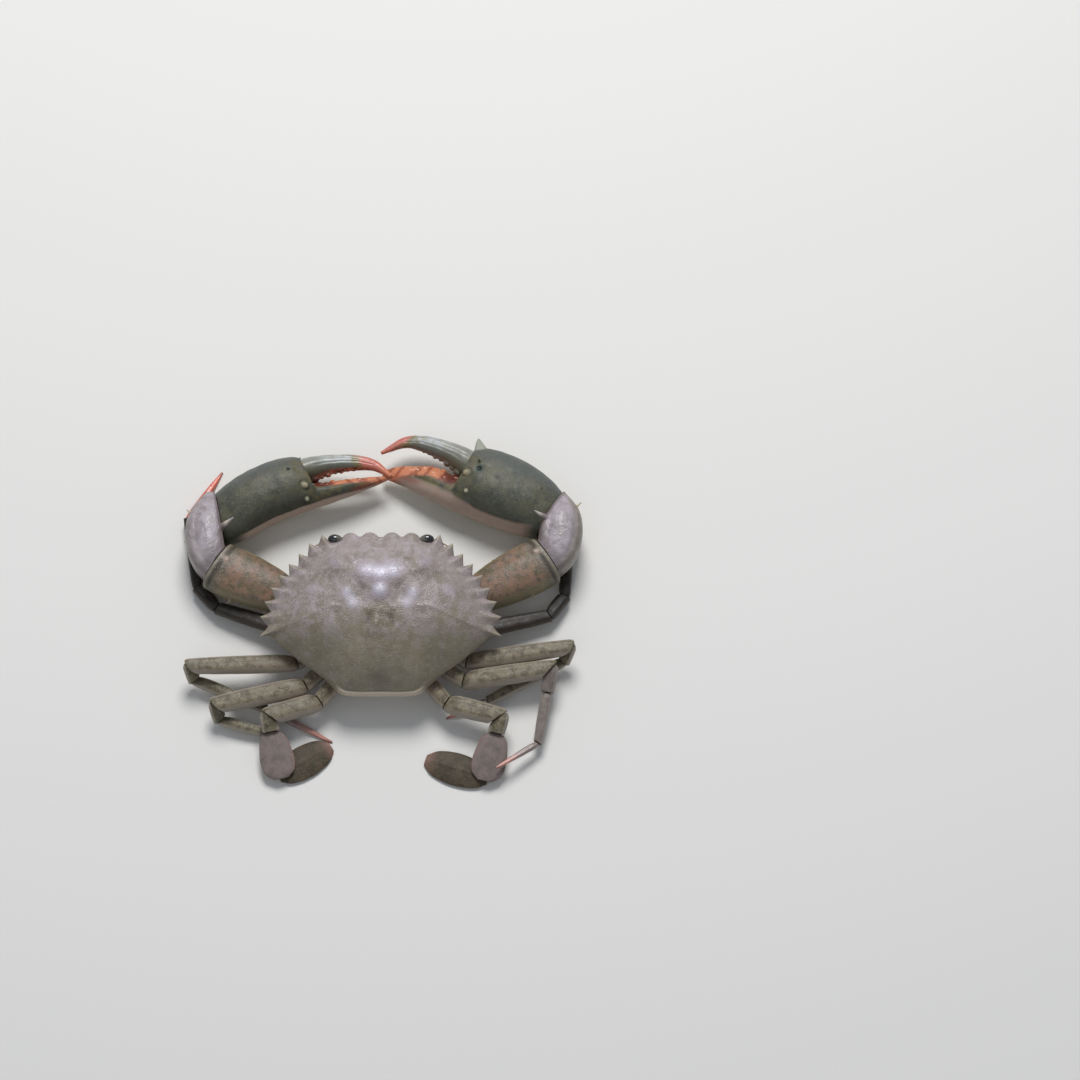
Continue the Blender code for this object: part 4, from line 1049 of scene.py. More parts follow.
def shape_core(bm, flare):
    """Bends a sphere to the body's underside; a flare widens it towards the shell's rim."""
    for vert in bm.verts:
        turn = (math.atan2(vert.co.x, vert.co.y) / math.tau) % 1.0
        reach = min(1.0, math.hypot(vert.co.x, vert.co.y))
        half = min(turn, 1.0 - turn) * 2.0
        rim = smooth_through(RIM_KNOTS, half)
        side = 1.0 if turn <= 0.5 else -1.0
        z = -SHELL_DEPTH * max(0.0, 1.0 - reach**UNDER_ROUNDNESS) ** (1 / UNDER_ROUNDNESS)
        if vert.co.z > -0.001:
            z = 10.0 * (1.0 - reach)
        inset = BODY_INSET + flare * max(0.0, 1.0 + z / 13.0) ** 1.2
        vert.co = (rim.x * side * reach * inset, rim.y * reach * inset - BELLY_REARWARD * (1.0 - reach), z)
    if not flare:
        cut(bm, (0, 0, SHELL_FLOOR - JOINT_GAP), (0, 0, -1))
    bmesh.ops.transform(bm, matrix=body_matrix(), verts=bm.verts)
    bmesh.ops.recalc_face_normals(bm, faces=bm.faces)


def build_thorax(settings):
    bm = bmesh.new()
    bmesh.ops.create_uvsphere(bm, u_segments=220, v_segments=150, radius=1.0)
    shape_core(bm, 0.10)
    faces = (body_matrix().to_3x3() @ Vector((0, 0, -1))).normalized()
    cut(bm, body_matrix() @ Vector((0, 0, SHELL_FLOOR - 0.15)), faces)
    piece = store(bm, "thorax")
    places = points_of(piece.data)
    x = np.abs(places[:, 0] - BODY_ACROSS)
    y = places[:, 1] - BODY_FORWARD
    low = 1.0 - step(places[:, 2], 12.0, 22.0)
    groove = np.zeros(x.shape)
    for forward in THORAX_GROOVES:
        line = ((2.0, forward), (20.0, forward + 2.5), (60.0, forward + 3.0))
        groove += np.exp(-(line_distance(x, y, line) / 0.9) ** 2) * low
    heights = -0.7 * groove + 0.5 * low * waves(places, 9.0, 0.6)
    raise_skin(piece.data, heights)
    write_marks(piece.data, groove=groove, upper=step(places[:, 2], 18.0, 30.0))
    finish_piece(piece, belly_finish(settings), "thorax")


def belly_finish(settings):
    """Cream underside, with tan stains, darker brown in its grooves and towards its top, and a fine grain."""
    finish = Finish("crab_belly", chosen(settings.belly_colour), 0.5, coat=0.1)
    finish.tint(finish.band(finish.cloud(9.0, 4.0), 0.35, 0.7), tone(176, 160, 132))
    stains = finish.band(finish.cloud(3.0, 4.0, 0.6), 0.55, 0.75, 0.0, 0.4)
    finish.tint(stains, tone(150, 128, 102))
    finish.tint(finish.mark("groove"), tone(120, 92, 70))
    finish.tint(finish.mark("upper"), tone(124, 112, 92))
    finish.relief(finish.cloud(1.2, 3.0), 0.12)
    finish.granules(0.8, 0.5, 0.05)
    return finish.done()


def belly_plate(surface, outline, span, heading, thickness, seams):
    """A plate that follows the underside, with seams across it at shares of its span."""
    bm = bmesh.new()
    bmesh.ops.create_grid(bm, x_segments=24, y_segments=90, size=1.0)
    outward = bm.verts.layers.float_vector.new("outward")
    groove_mark = bm.verts.layers.float.new("groove")
    knots = [(share, Vector((across, half))) for share, across, half in outline]
    heading = Vector(heading).normalized()
    start, end = span
    for vert in bm.verts:
        share = (vert.co.y + 1) / 2
        across, half = smooth_through(knots, share)
        rounded = 1.0 - 0.55 * abs(vert.co.x) ** 4
        ends = min(1.0, 0.45 + 8.0 * min(share, 1.0 - share))
        seam = max((math.exp(-((share - place) / 0.009) ** 2) for place in seams), default=0.0)
        aim = in_room((across + half * vert.co.x, start + (end - start) * share, PLATE_AIM_HEIGHT))
        point, normal, _, _ = surface.ray_cast(aim - heading * PLATE_AIM_DISTANCE, heading)
        if normal.dot(heading) > 0:
            normal = -normal
        vert.co = point + normal * 0.2
        vert[outward] = normal * (thickness * rounded * ends * (1.0 - 0.3 * seam))
        vert[groove_mark] = seam
    raised = bmesh.ops.extrude_face_region(bm, geom=bm.faces[:])
    for item in raised["geom"]:
        if isinstance(item, bmesh.types.BMVert):
            item.co += item[outward]
    bmesh.ops.recalc_face_normals(bm, faces=bm.faces)
    above_floor(bm)
    return bm


def build_belly_plates(surface):
    finish = bpy.data.materials["crab_belly"]
    abdomen = belly_plate(surface, ABDOMEN_OUTLINE, ABDOMEN_SPAN, ABDOMEN_FACES, ABDOMEN_THICKNESS,
                          (0.09, 0.19, 0.31, 0.45, 0.60, 0.82))
    finish_piece(store(abdomen, "abdomen"), finish, "abdomen")
    for side, name in ((-1, "maxilliped_left"), (1, "maxilliped_right")):
        outline = [(share, across * side, half) for share, across, half in MOUTHPART_OUTLINE]
        plate = belly_plate(surface, outline, MOUTHPART_SPAN, MOUTHPART_FACES, MOUTHPART_THICKNESS,
                            (0.42, 0.8))
        finish_piece(store(plate, name), finish, name)


def build_eyes(settings):
    matrix = body_matrix()
    finish = eye_finish(settings)
    for side, name in ((-1, "eye_left"), (1, "eye_right")):
        middle = Vector((EYE_ACROSS * side, EYE_FORWARD, EYE_UP))
        stalk = straight([(across * side, forward, up) for across, forward, up in EYE_STALK] + [middle])
        cornea = ball(middle, (EYE_RADII[0], EYE_RADII[1] * EYE_FLATNESS, EYE_RADII[2]), 48, 32)
        bm = melted([cornea, tube(stalk, sizes_from(EYE_STALK_SIZES), *STALK_TUBE)], EYE_FINENESS, 3)
        bmesh.ops.transform(bm, matrix=matrix, verts=bm.verts)
        piece = store(bm, name)
        away = points_of(piece.data) - np.array(matrix @ middle)
        write_marks(piece.data, cornea=step(away[:, 0] * side, -2.2, -0.6))
        finish_piece(piece, finish, name)


def eye_finish(settings):
    """A wet black cornea with fine facets, on a dull stalk."""
    finish = Finish("crab_eye", tone(70, 66, 58), 0.1, coat=1.0, coat_roughness=0.04)
    cornea = finish.mark("cornea")
    finish.tint(finish.cloud(1.4), tone(112, 106, 92))
    finish.tint(cornea, chosen(settings.eye_colour))
    finish.relief(finish.band(finish.grains(0.22, randomness=0.2), 0.0, 0.6, 1.0, 0.0), 0.012)
    return finish.done(finish.band(cornea, 0.0, 1.0, 0.5, 0.12))


def ringed(turn, t):
    """The section of an antenna, with rings all along it."""
    return 1.0 + ANTENNA_RING_DEPTH * math.cos(t * 2 * math.pi * ANTENNA_RINGS)


def build_feelers(settings, surface):
    finish = feeler_finish(settings)
    sizes = sizes_from(ANTENNA_SIZES)
    for side, name in ((-1, "antenna_left"), (1, "antenna_right")):
        points = [in_room((across * side, forward, up)) for across, forward, up in ANTENNA]
        points[0], faces = root_on(surface, points[0], ANTENNA_ROOT_DEPTH)
        path = straight(points, before=ANTENNA_OVERRUN)
        bm = tube(path, sizes, *ANTENNA_TUBE, ringed)
        cut(bm, points[0] + faces * JOINT_GAP, faces)
        piece = store(bm, name)
        along, _, _ = limb_marks(piece.data, path, sizes)
        write_marks(piece.data, along=along)
        finish_piece(piece, finish, name)


def feeler_finish(settings):
    """Dull red brown rings, paler towards the end."""
    finish = Finish("crab_feeler", chosen(settings.feeler_colour), 0.45)
    finish.tint(finish.mark("along"), tone(176, 132, 104))
    finish.tint(finish.band(finish.cloud(1.0), 0.45, 0.65, 0.0, 0.5), tone(96, 66, 54))
    finish.relief(finish.cloud(0.5), 0.04)
    return finish.done()


def root_on(surface, start, depth):
    """Where a limb meets the body, a little inside its skin, and the way the skin faces there."""
    inside = in_room((0.0, 0.0, CORE_HEIGHT)).lerp(start, 0.3)
    heading = (start - inside).normalized()
    point, normal, _, _ = surface.ray_cast(inside, heading)
    if normal.dot(heading) < 0:
        normal = -normal
    return point - normal * depth, normal


def mitre(before, joint, after):
    """The plane between two lengths that meet at a joint, and how far each runs on to reach it."""
    a = (joint - before).normalized()
    b = (after - joint).normalized()
    bend = math.acos(max(-1.0, min(1.0, a.dot(b))))
    return (a + b).normalized(), math.tan(min(STEEPEST_MITRE, bend / 2))


LEG_SECTIONS = {
    "coxa": section(2.2),
    "merus": section(2.4, (52, 9, -0.06), (128, 9, -0.06), (90, 16, 0.05), (-90, 30, 0.06)),
    "carpus": section(2.6, (90, 12, 0.08), (40, 8, 0.04)),
    "propodus": section(2.5, (75, 12, 0.08), (-80, 14, 0.08)),
    "dactyl": section(2.2, (90, 14, 0.10), (-90, 14, 0.10)),
}
PLATE_SECTION = section(1.8, (90, 4, -0.14), (-90, 4, -0.14))


def leg_run(points, number, overruns, size, swell):
    """The path and sizes of one length of a walking leg, long enough to be cut at both joints."""
    before = ROOT_OVERRUN if number == 0 else size[0] * overruns[number] + JOINT_OVERRUN
    after = 0.0 if number == LAST_PART else size[0] * overruns[number + 1] + JOINT_OVERRUN
    return straight(points[number:number + 2], before, after), swell_sizes(size, swell)


def plate_run(points, part, size, swell):
    """The path and sizes of one of the two flat plates that end a swimming leg."""
    start, end = (points[3], points[4]) if part == "propodus" else (points[4], points[5])
    before, after = PLATE_OVERRUNS[part]
    if part == "dactyl":
        start = Vector((start.x, start.y, PADDLE_MIDDLE))
    return straight((start, end), before, after), plate_sizes(size, swell)


def leg_joints(joints, surface):
    """A leg's joints in the room, the plane at each, and how far the lengths run on to reach it."""
    points = [in_room(joint) for joint in joints]
    points[0], faces = root_on(surface, points[0], LEG_ROOT_DEPTH)
    planes = [(points[0], faces)]
    overruns = [1.0]
    for before, joint, after in zip(points, points[1:], points[2:]):
        normal, overrun = mitre(before, joint, after)
        planes.append((joint, normal))
        overruns.append(overrun)
    return points, planes, overruns


def rounded_length(path, size, points, number):
    """One length of a leg, rounded off where it runs past its joints."""
    bm = tube(path, size, *LEG_TUBE, LEG_SECTIONS[LEG_PARTS[number]])
    _, heading, across, up = frame_at(path, 0.5)
    if number:
        rounded_past(bm, points[number], -heading, across, up, size(0.1))
    if number < LAST_PART:
        rounded_past(bm, points[number + 1], heading, across, up, size(0.9))
    return bm


def cut_length(bm, planes, number, path, kind):
    """Cuts one length at its joints; a plate and its paddle meet on a level plane instead."""
    joint_mark(bm)
    if kind == "paddle":
        cut(bm, (0, 0, PADDLE_LEVEL - JOINT_GAP / 2), (0, 0, -1))
    else:
        point, normal = planes[number]
        narrowed(bm, point, normal, path, *LEG_NARROWING)
        joint_end(bm, point, normal, NECK_HEIGHT if number else 0.0)
    if kind == "plate":
        cut(bm, (0, 0, PADDLE_LEVEL + JOINT_GAP / 2), (0, 0, 1))
    elif number < LAST_PART:
        point, normal = planes[number + 1]
        joint_end(bm, point, -normal)
    above_floor(bm)


def build_leg(name, joints, sizes, swells, finishes, surface):
    """One leg's pieces, from its root on the thorax to its tip."""
    points, planes, overruns = leg_joints(joints, surface)
    swimming = name.startswith("swim")
    for number, part in enumerate(LEG_PARTS):
        plate = swimming and part in PLATE_KINDS
        kind = PLATE_KINDS[part] if plate else part
        if plate:
            path, size = plate_run(points, part, sizes[number], swells[part])
            bm = tube(path, size, *PLATE_TUBE, PLATE_SECTION)
        else:
            path, size = leg_run(points, number, overruns, sizes[number], swells[part])
            bm = rounded_length(path, size, points, number)
        cut_length(bm, planes, number, path, kind)
        node = f"{name}_{'paddle' if kind == 'paddle' else part}"
        piece = store(bm, node)
        along, across, up = limb_marks(piece.data, path, size)
        raise_skin(piece.data, waves(points_of(piece.data), 4.0, 0.10))
        inward = math.copysign(1.0, -frame_at(path, 0.5)[2].x * points[0].x)
        root = math.exp(-((points[number] - points[0]).length / ROOT_FADE) ** 2)
        write_marks(piece.data, along=along, across=across * inward, up=up, root=root * (1.0 - along))
        finish_piece(piece, finishes.get(kind, finishes["merus"]), node)


def leg_finish(name, top, drift, net, low, strength=0.7):
    """Leg shell: a dark top with a pale netted band, lighter below, with pale edges that are partly a painted
    sheen, and painted shade near the root.
    """
    finish = Finish(name, top, 0.52, coat=0.08, coat_roughness=0.3, level=0.34)
    finish.tint(finish.band(finish.cloud(4.5, 4.0), 0.42, 0.6), drift)
    dots = finish.band(finish.grains(1.5), 0.46, 0.16)
    broken = finish.times(dots, finish.band(finish.cloud(3.6), 0.4, 0.6))
    middle = finish.band(finish.from_middle(), 0.85, 0.35, 0.1, strength)
    finish.tint(finish.times(broken, middle), net)
    # Pale edges, partly a painted sheen along the edges that catch the light
    edge = finish.band(finish.from_middle(), 0.55, 0.9, 0.0, 0.8)
    finish.tint(edge, low)
    rosy = finish.times(finish.mark("root"), finish.band(finish.cloud(4.0), 0.4, 0.6, 0.4, 1.0))
    finish.tint(finish.times(rosy, strength), tone(134, 98, 86))
    # Painted shade near the root of each length, where the leg runs in under the shell
    painted_root_shade = finish.times(finish.marked("along", 0.24, 0.02), finish.mark("root"))
    finish.tint(finish.times(painted_root_shade, 0.5), tone(66, 56, 48))
    below = finish.marked("up", -0.1, -0.7, 0.0, 0.9)
    finish.tint(below, low)
    finish.joint_skin()
    finish.granules(1.1, 0.55, 0.08)
    finish.relief(finish.cloud(0.6), 0.05)
    return finish.done(finish.band(finish.cloud(4.0), 0.3, 0.7, 0.42, 0.58))


def claw_tip_finish(name, root, end):
    """The last segment of a leg: root colour to end colour, with a darker tip and a fine grain."""
    finish = Finish(name, root, 0.34, coat=0.4, coat_roughness=0.2)
    share = finish.plus(finish.mark("along"), finish.band(finish.cloud(3.0), 0.3, 0.7, -0.12, 0.12))
    finish.tint(finish.band(share, 0.3, 0.9), end)
    finish.tint(finish.marked("along", 0.86, 1.0, 0.0, 0.7), tone(92, 46, 32))
    finish.joint_skin()
    finish.relief(finish.cloud(0.7), 0.06)
    return finish.done()


def paddle_finish(name, top, drift, place):
    """Swimming plates: dull and finely stippled, pinkish red at the inner edge or at the tip."""
    finish = Finish(name, top, 0.62, coat=0.03, coat_roughness=0.35, level=0.28)
    finish.tint(finish.band(finish.cloud(6.0, 4.0), 0.35, 0.68), drift)
    dots = finish.band(finish.grains(1.25), 0.34, 0.14, 0.0, 0.3)
    finish.tint(dots, tone(140, 130, 116))
    specks = finish.band(finish.grains(2.3), 0.2, 0.08, 0.0, 0.6)
    finish.tint(specks, tone(66, 58, 52))
    blush = finish.marked(place, 0.8, 1.0, 0.0, 0.65)
    blush = finish.times(blush, finish.band(finish.cloud(6.0), 0.36, 0.6, 0.4, 1.0))
    finish.tint(blush, tone(150, 112, 102))
    finish.tint(finish.marked("up", -0.2, -0.7, 0.0, 0.8), tone(176, 160, 140))
    finish.joint_skin()
    finish.granules(1.25, 0.5, 0.08)
    finish.relief(finish.cloud(0.7), 0.05)
    return finish.done()


def build_legs(settings, surface):
    # Painted shade: the first walking legs get a darker copy of the leg colours, for the shade under the claw
    # arms
    dark = leg_finish("crab_leg_painted_shade", tone(30, 24, 19), tone(44, 40, 35), tone(70, 60, 45),
                      tone(66, 57, 48), 0.3)
    olive = leg_finish("crab_leg", chosen(settings.leg_colour), tone(86, 80, 62), tone(150, 143, 106),
                       tone(168, 158, 144))
    red = claw_tip_finish("crab_leg_tip_red", tone(186, 100, 76), tone(206, 92, 70))
    pink = claw_tip_finish("crab_leg_tip", tone(130, 114, 108), tone(190, 128, 112))
    mauve = leg_finish("crab_leg_mauve", tone(124, 114, 106), tone(110, 100, 94), tone(138, 129, 116),
                       tone(150, 140, 132), 0.3)
    for name, joints in LEGS.items():
        sizes = LEG_SIZES[name[:len("leg_1")]]
        first = name.startswith("leg_1")
        finishes = {"merus": dark if first else olive, "dactyl": red if first else pink}
        if name == "leg_3_right":
            finishes.update(carpus=mauve, propodus=mauve)
        build_leg(name, joints, sizes, LEG_SWELL, finishes, surface)


def build_paddles(settings, surface):
    plate = paddle_finish("crab_plate", chosen(settings.plate_colour), tone(108, 100, 92), "across")
    paddle = paddle_finish("crab_paddle", chosen(settings.paddle_colour), tone(62, 55, 40), "along")
    finishes = {"merus": bpy.data.materials["crab_leg"], "plate": plate, "paddle": paddle}
    swells = dict(LEG_SWELL, **PADDLE_SWELL)
    for name, joints in SWIM_LEGS.items():
        build_leg(name, joints, LEG_SIZES["swim_leg"], swells, finishes, surface)


def limb_piece(bm, name, path, sizes, material):
    """Stores a length of a claw arm with its marks."""
    above_floor(bm)
    piece = store(bm, name)
    along, across, up = limb_marks(piece.data, path, sizes)
    raise_skin(piece.data, waves(points_of(piece.data), 5.0, 0.14))
    write_marks(piece.data, along=along, across=across, up=up)
    return finish_piece(piece, material, name)


def spine_forms(ends, widths):
    """Spines from their starts and ends; the last width also serves the spines after it."""
    forms = []
    for number, (start, end) in enumerate(ends):
        tip = in_room(end)
        forms.append(spine(in_room(start).lerp(tip, -SPINE_DEPTH), tip, widths[min(number, len(widths) - 1)]))
    return forms


def near_tips(places, ends, radius, taper=0.0):
    """How far out along a spine each point is, for arrays, and 0 off the spines, which may taper."""
    nearness = np.zeros(len(places))
    for start, end, *_ in ends:
        root = np.array(in_room(start))
        axis = np.array(in_room(end)) - root
        share = (places - root) @ axis / (axis @ axis)
        away = ((places - root - share[:, None] * axis) ** 2).sum(1)
        reach = radius * np.clip(1.0 - taper * share, 0.04, 1.0)
        nearness = np.maximum(nearness, step(share, 0.2, 0.75) * np.exp(-away / reach**2))
    return nearness


def fin_forms(name):
    """Broad thin teeth beside the hinge."""
    forms = []
    for start, end, width, thickness in FINS[name]:
        sizes = sizes_from([(width * share, max(FIN_THINNEST, thickness * share)) for share in FIN_TAPER])
        forms.append(tube(straight((in_room(start), in_room(end))), sizes, *FIN_TUBE))
    return forms


def build_base(name, root, hip, material):
    """The claw arm's first length, on the thorax."""
    point, faces = root
    joint, joint_faces = hip
    path = straight((point, joint), *BASE_OVERRUNS)
    sizes = sizes_from(ARM_BASE)
    bm = tube(path, sizes, *BASE_TUBE, section(2.3))
    joint_mark(bm)
    cut(bm, point + faces * JOINT_GAP, faces)
    joint_end(bm, joint, -joint_faces)
    limb_piece(bm, f"{name}_base", path, sizes, material)


def build_merus(name, arm, hip, elbow, material):
    """The claw arm's long length, with two knobs at the elbow and a groove behind its lip."""
    (start, start_faces), (end, end_faces) = hip, elbow
    path = straight((start, end), *MERUS_OVERRUNS)
    sizes = sizes_from(ARM_MERUS)
    merus = tube(path, sizes, *ARM_TUBE, section(2.45, (60, 12, 0.05), (-90, 30, 0.05)))
    seat = in_room(arm["condyle"]) - end_faces * 1.9
    condyles = [ball(seat, (3.8, 3.0, 2.4)), ball(seat + Vector((0, -9.0, -3.4)), (3.0, 3.4, 2.8))]
    spines = spine_forms(ARM_SPINES[name]["merus"], MERUS_SPINE_WIDTHS)
    bm = melted([merus] + condyles + spines, ARM_FINENESS, 4)
    narrowed(bm, start, start_faces, path, *MERUS_NARROWING)
    joint_end(bm, start, start_faces, NECK_HEIGHT)
    joint_end(bm, end, -end_faces)
    piece = limb_piece(bm, f"{name}_merus", path, sizes, material)
    places = points_of(piece.data)
    to_end = (np.array(end) - places) @ np.array(end_faces)
    away = ((places - np.array(seat)) ** 2).sum(1)
    groove = np.exp(-((to_end - 4.2) / 1.2) ** 2) * step(facing_of(piece.data)[:, 2], -0.2, 0.4)
    raise_skin(piece.data, -0.7 * groove * (1.0 - np.exp(-away / 4.5**2)))
    write_marks(piece.data, end=np.exp(-(np.maximum(0.0, to_end) / 12.0) ** 2), groove=groove,
                lip=1.0 - step(to_end, 1.2, 3.0), knob=np.exp(-away / 3.4**2))


def build_carpus(name, arm, elbow, wrist, material):
    """The wrist, a faceted shield with pale tipped spines."""
    (start, start_faces), (end, end_faces) = elbow, wrist
    path = straight([in_room(point) for point in arm["carpus"]])
    sizes = sizes_from(ARM_CARPUS)
    shield = section(3.2, (128, 9, 0.10), (60, 9, 0.08), (92, 14, -0.06))
    bm = melted([tube(path, sizes, *ARM_TUBE, shield)], ARM_FINENESS, 4)
    joint_end(bm, start, start_faces, NECK_HEIGHT)
    joint_end(bm, end, -end_faces)
    spines = ARM_SPINES[name]["carpus"]
    bm = combined(bm, together(spine_forms(spines, CARPUS_SPINE_WIDTHS)), "UNION")
    piece = limb_piece(bm, f"{name}_carpus", path, sizes, material)
    places = points_of(piece.data)
    to_end = (np.array(end) - places) @ np.array(end_faces)
    from_start = (places - np.array(start)) @ np.array(start_faces)
    write_marks(piece.data, tip=near_tips(places, spines, 5.0, taper=0.95),
                crease=np.exp(-(to_end / 2.4) ** 2), base=1.0 - step(from_start, 2.0, 9.0))


def build_arm(name, arm, finishes, surface):
    """The three lengths of a claw arm; gives the place and plane at which the palm starts."""
    root, root_faces = root_on(surface, in_room(arm["root"]), ARM_ROOT_DEPTH)
    hip = in_room(arm["hip"])
    elbow = in_room(arm["elbow"])
    wrist = in_room(arm["wrist"])
    hip_faces = ((hip - root).normalized() + (elbow - hip).normalized()).normalized()
    elbow_faces = Vector(arm["elbow_faces"]).normalized()
    wrist_faces = Vector(arm["wrist_faces"]).normalized()
    build_base(name, (root, root_faces), (hip, hip_faces), finishes["merus"])
    build_merus(name, arm, (hip, hip_faces), (elbow, elbow_faces), finishes["merus"])
    build_carpus(name, arm, (elbow, elbow_faces), (wrist, wrist_faces), finishes["carpus"])
    return wrist + wrist_faces * (JOINT_GAP / 2), wrist_faces


def claw_frame(arm):
    """A claw's origin at the wrist, and its directions along, towards the upper edge, and up."""
    origin = in_room(arm["palm_at"])
    along = (in_room(arm["hinge_at"]) - origin).normalized()
    up = Vector((0, 0, 1))
    forward = up.cross(along)
    if forward.y < 0:
        forward = -forward
    return origin, along, forward, up


def finger_place(place, reach):
    """Distance along the claw, with its fingers made longer or shorter."""
    return place if place < HINGE_ALONG else HINGE_ALONG + (place - HINGE_ALONG) * reach


def finger_rise(place, end, lift):
    """How far a finger has risen at a place, for a lift given at its end."""
    share = max(0.0, place - HINGE_ALONG) / (end - HINGE_ALONG)
    return lift * share**2


def finger_sag(places, dip):
    """How far a finger has sunk at many places, for a dip given at its end."""
    return dip * (np.maximum(0.0, places - HINGE_ALONG) / (POLLEX[-1][0] - HINGE_ALONG)) ** 2


def turned(x, y, angle):
    """A point of the claw turned about its hinge."""
    dx = x - HINGE_ALONG
    dy = y - HINGE_UP
    return (HINGE_ALONG + dx * math.cos(angle) - dy * math.sin(angle),
            HINGE_UP + dx * math.sin(angle) + dy * math.cos(angle))


def bellied(arm, rows):
    """Rows of the palm or the fixed finger with this claw's own lower edge."""
    full = []
    claw_length = POLLEX[-1][0]
    for place, low, high, thick in rows:
        share = max(0.0, place / claw_length) ** BELLY_LEAN
        bulge = max(0.0, math.sin(math.pi * share)) ** BELLY_POWER
        full.append((place, low - arm["belly"] * bulge, high, thick))
    return full


def pollex_rows(arm):
    """Rows of the fixed finger with this claw's own lower and biting edges."""
    rows = bellied(arm, POLLEX)
    return [(place, low, high + arm["raise"] * share, thick)
            for (place, low, high, thick), share in zip(rows, POLLEX_RAISE)]


def dactyl_rows(arm):
    """Rows of the movable finger with this claw's own hook at the tip."""
    hooked = []
    end = DACTYL[-1][0]
    for place, low, high, thick in DACTYL:
        drop = arm["hook"] * max(0.0, (place - HOOK_START) / (end - HOOK_START)) ** 3
        hooked.append((place - HOOK_SHORTENING * drop, low - drop, high - drop, thick))
    return hooked


def claw_tube(arm, rows, lift, reach=1.0, turn=0.0, grown=0.0, shape=ellipse):
    """A tube along the claw through rows of (along, lower edge, upper edge, half thickness)."""
    origin, along, forward, up = claw_frame(arm)
    start = rows[0][0]
    end = rows[-1][0]
    middles = []
    halves = []
    for place, low, high, thick in rows:
        if high > 0:
            high *= arm["upper"]
        x, y = turned(finger_place(place, reach), (low + high) / 2, turn)
        z = finger_rise(place, end, lift)
        knot = (place - start) / (end - start)
        middles.append((knot, origin + along * x + forward * y + up * z))
        halves.append((knot, Vector(((high - low) / 2 + grown, thick * arm["thick"] + grown))))
    return tube(path_through(middles), sizes_through(halves), *CLAW_TUBE, shape)


def finger_teeth(arm, edge, end, heading, lift, reach, turn=0.0):
    """Rounded teeth along a finger's biting edge, whose level is given as (along, level) knots."""
    origin, along, forward, up = claw_frame(arm)
    shapes = []
    for place, width, height in FINGER_TEETH:
        x = finger_place(place, reach)
        y = smooth_through(edge, place) + heading * (height - 3.0) / 2
        px, py = turned(x, y, turn)
        bm = bmesh.new()
        bmesh.ops.create_uvsphere(bm, u_segments=20, v_segments=14, radius=1.0)
        bmesh.ops.scale(bm, vec=(width * 0.92, (height + 3.0) / 2, width * 0.95), verts=bm.verts)
        middle = origin + along * px + forward * py + up * finger_rise(place, end, lift)
        room = Matrix((along, forward, up)).transposed().to_4x4() @ Matrix.Rotation(turn, 4, "Z")
        bmesh.ops.transform(bm, matrix=Matrix.Translation(middle) @ room, verts=bm.verts)
        bmesh.ops.recalc_face_normals(bm, faces=bm.faces)
        shapes.append(bm)
    return shapes


def claw_places(arm, mesh):
    """Every point of a claw as along, rise and height from its wrist."""
    origin, along, forward, up = claw_frame(arm)
    offset = points_of(mesh) - np.array(origin)
    return offset @ np.array(along), offset @ np.array(forward), offset @ np.array(up)


def unturned(x, y, angle, reach):
    """Places of a turned finger as the finger's own places, before it was turned and lengthened."""
    dx = x - HINGE_ALONG
    dy = y - HINGE_UP
    px = HINGE_ALONG + dx * math.cos(angle) + dy * math.sin(angle)
    py = HINGE_UP - dx * math.sin(angle) + dy * math.cos(angle)
    return np.where(px > HINGE_ALONG, HINGE_ALONG + (px - HINGE_ALONG) / reach, px), py


def on_skin(shape, arm, x, y):
    """The highest point of a shape over a place of the claw."""
    origin, along, forward, up = claw_frame(arm)
    surface = BVHTree.FromBMesh(shape)
    above = origin + along * x + forward * y + up * 60
    return surface.ray_cast(above, -up)[0]


def dactyl_lift(arm):
    """How far the movable finger has risen at its tip."""
    return DACTYL_TIP_LIFT + arm["dip"] / 2


def dactyl_tube(arm, grown=0.0):
    """The plain movable finger, or with a growth the hollow that it sits in."""
    return claw_tube(arm, dactyl_rows(arm), dactyl_lift(arm), arm["reach"], arm["gape"], grown)


def palm_lumps(arm, palm, along):
    """The knob beside the hinge, its smaller neighbour, and the round dot below them."""
    knob_x, knob_y, knob_r = arm["knob"]
    seat = on_skin(palm, arm, knob_x, knob_y)
    dot = on_skin(palm, arm, *arm["dot"])
    return [ball(seat - Vector((0, 0, 0.7)), (knob_r * 1.15, knob_r * 0.8, 1.9)),
            ball(seat + along * 1.6 - Vector((0, 1.6, 1.0)), (knob_r * 0.6, knob_r * 0.8, 1.8)),
            ball(dot - Vector((0, 0, 0.8)), (1.5, 1.5, 1.3))]


def palm_form(name, arm, rows, wrist, wrist_faces):
    """The palm and its fixed finger in one skin, with the movable finger's hollow taken out."""
    origin, along, _, _ = claw_frame(arm)
    palm = claw_tube(arm, bellied(arm, PALM), 0.0, shape=section(2.2))
    cut(palm, origin + along * HINGE_ALONG - along * 0.2, -along)
    pollex = claw_tube(arm, rows, arm["dip"], arm["length"])
    edge = [(place, high) for place, _, high, _ in rows]
    teeth = finger_teeth(arm, edge, POLLEX[-1][0], 1, arm["dip"], arm["length"])
    spines = spine_forms(ARM_SPINES[name]["palm"], PALM_SPINE_WIDTHS)
    shapes = [palm, pollex] + palm_lumps(arm, palm, along) + teeth + fin_forms(name) + spines
    bm = combined(melted(shapes, PALM_FINENESS, 5), dactyl_tube(arm, SOCKET_ROOM), "DIFFERENCE")
    cut(bm, wrist, wrist_faces)
    joint_end(bm, wrist - wrist_faces * 0.3, wrist_faces, NECK_HEIGHT)
    return bm


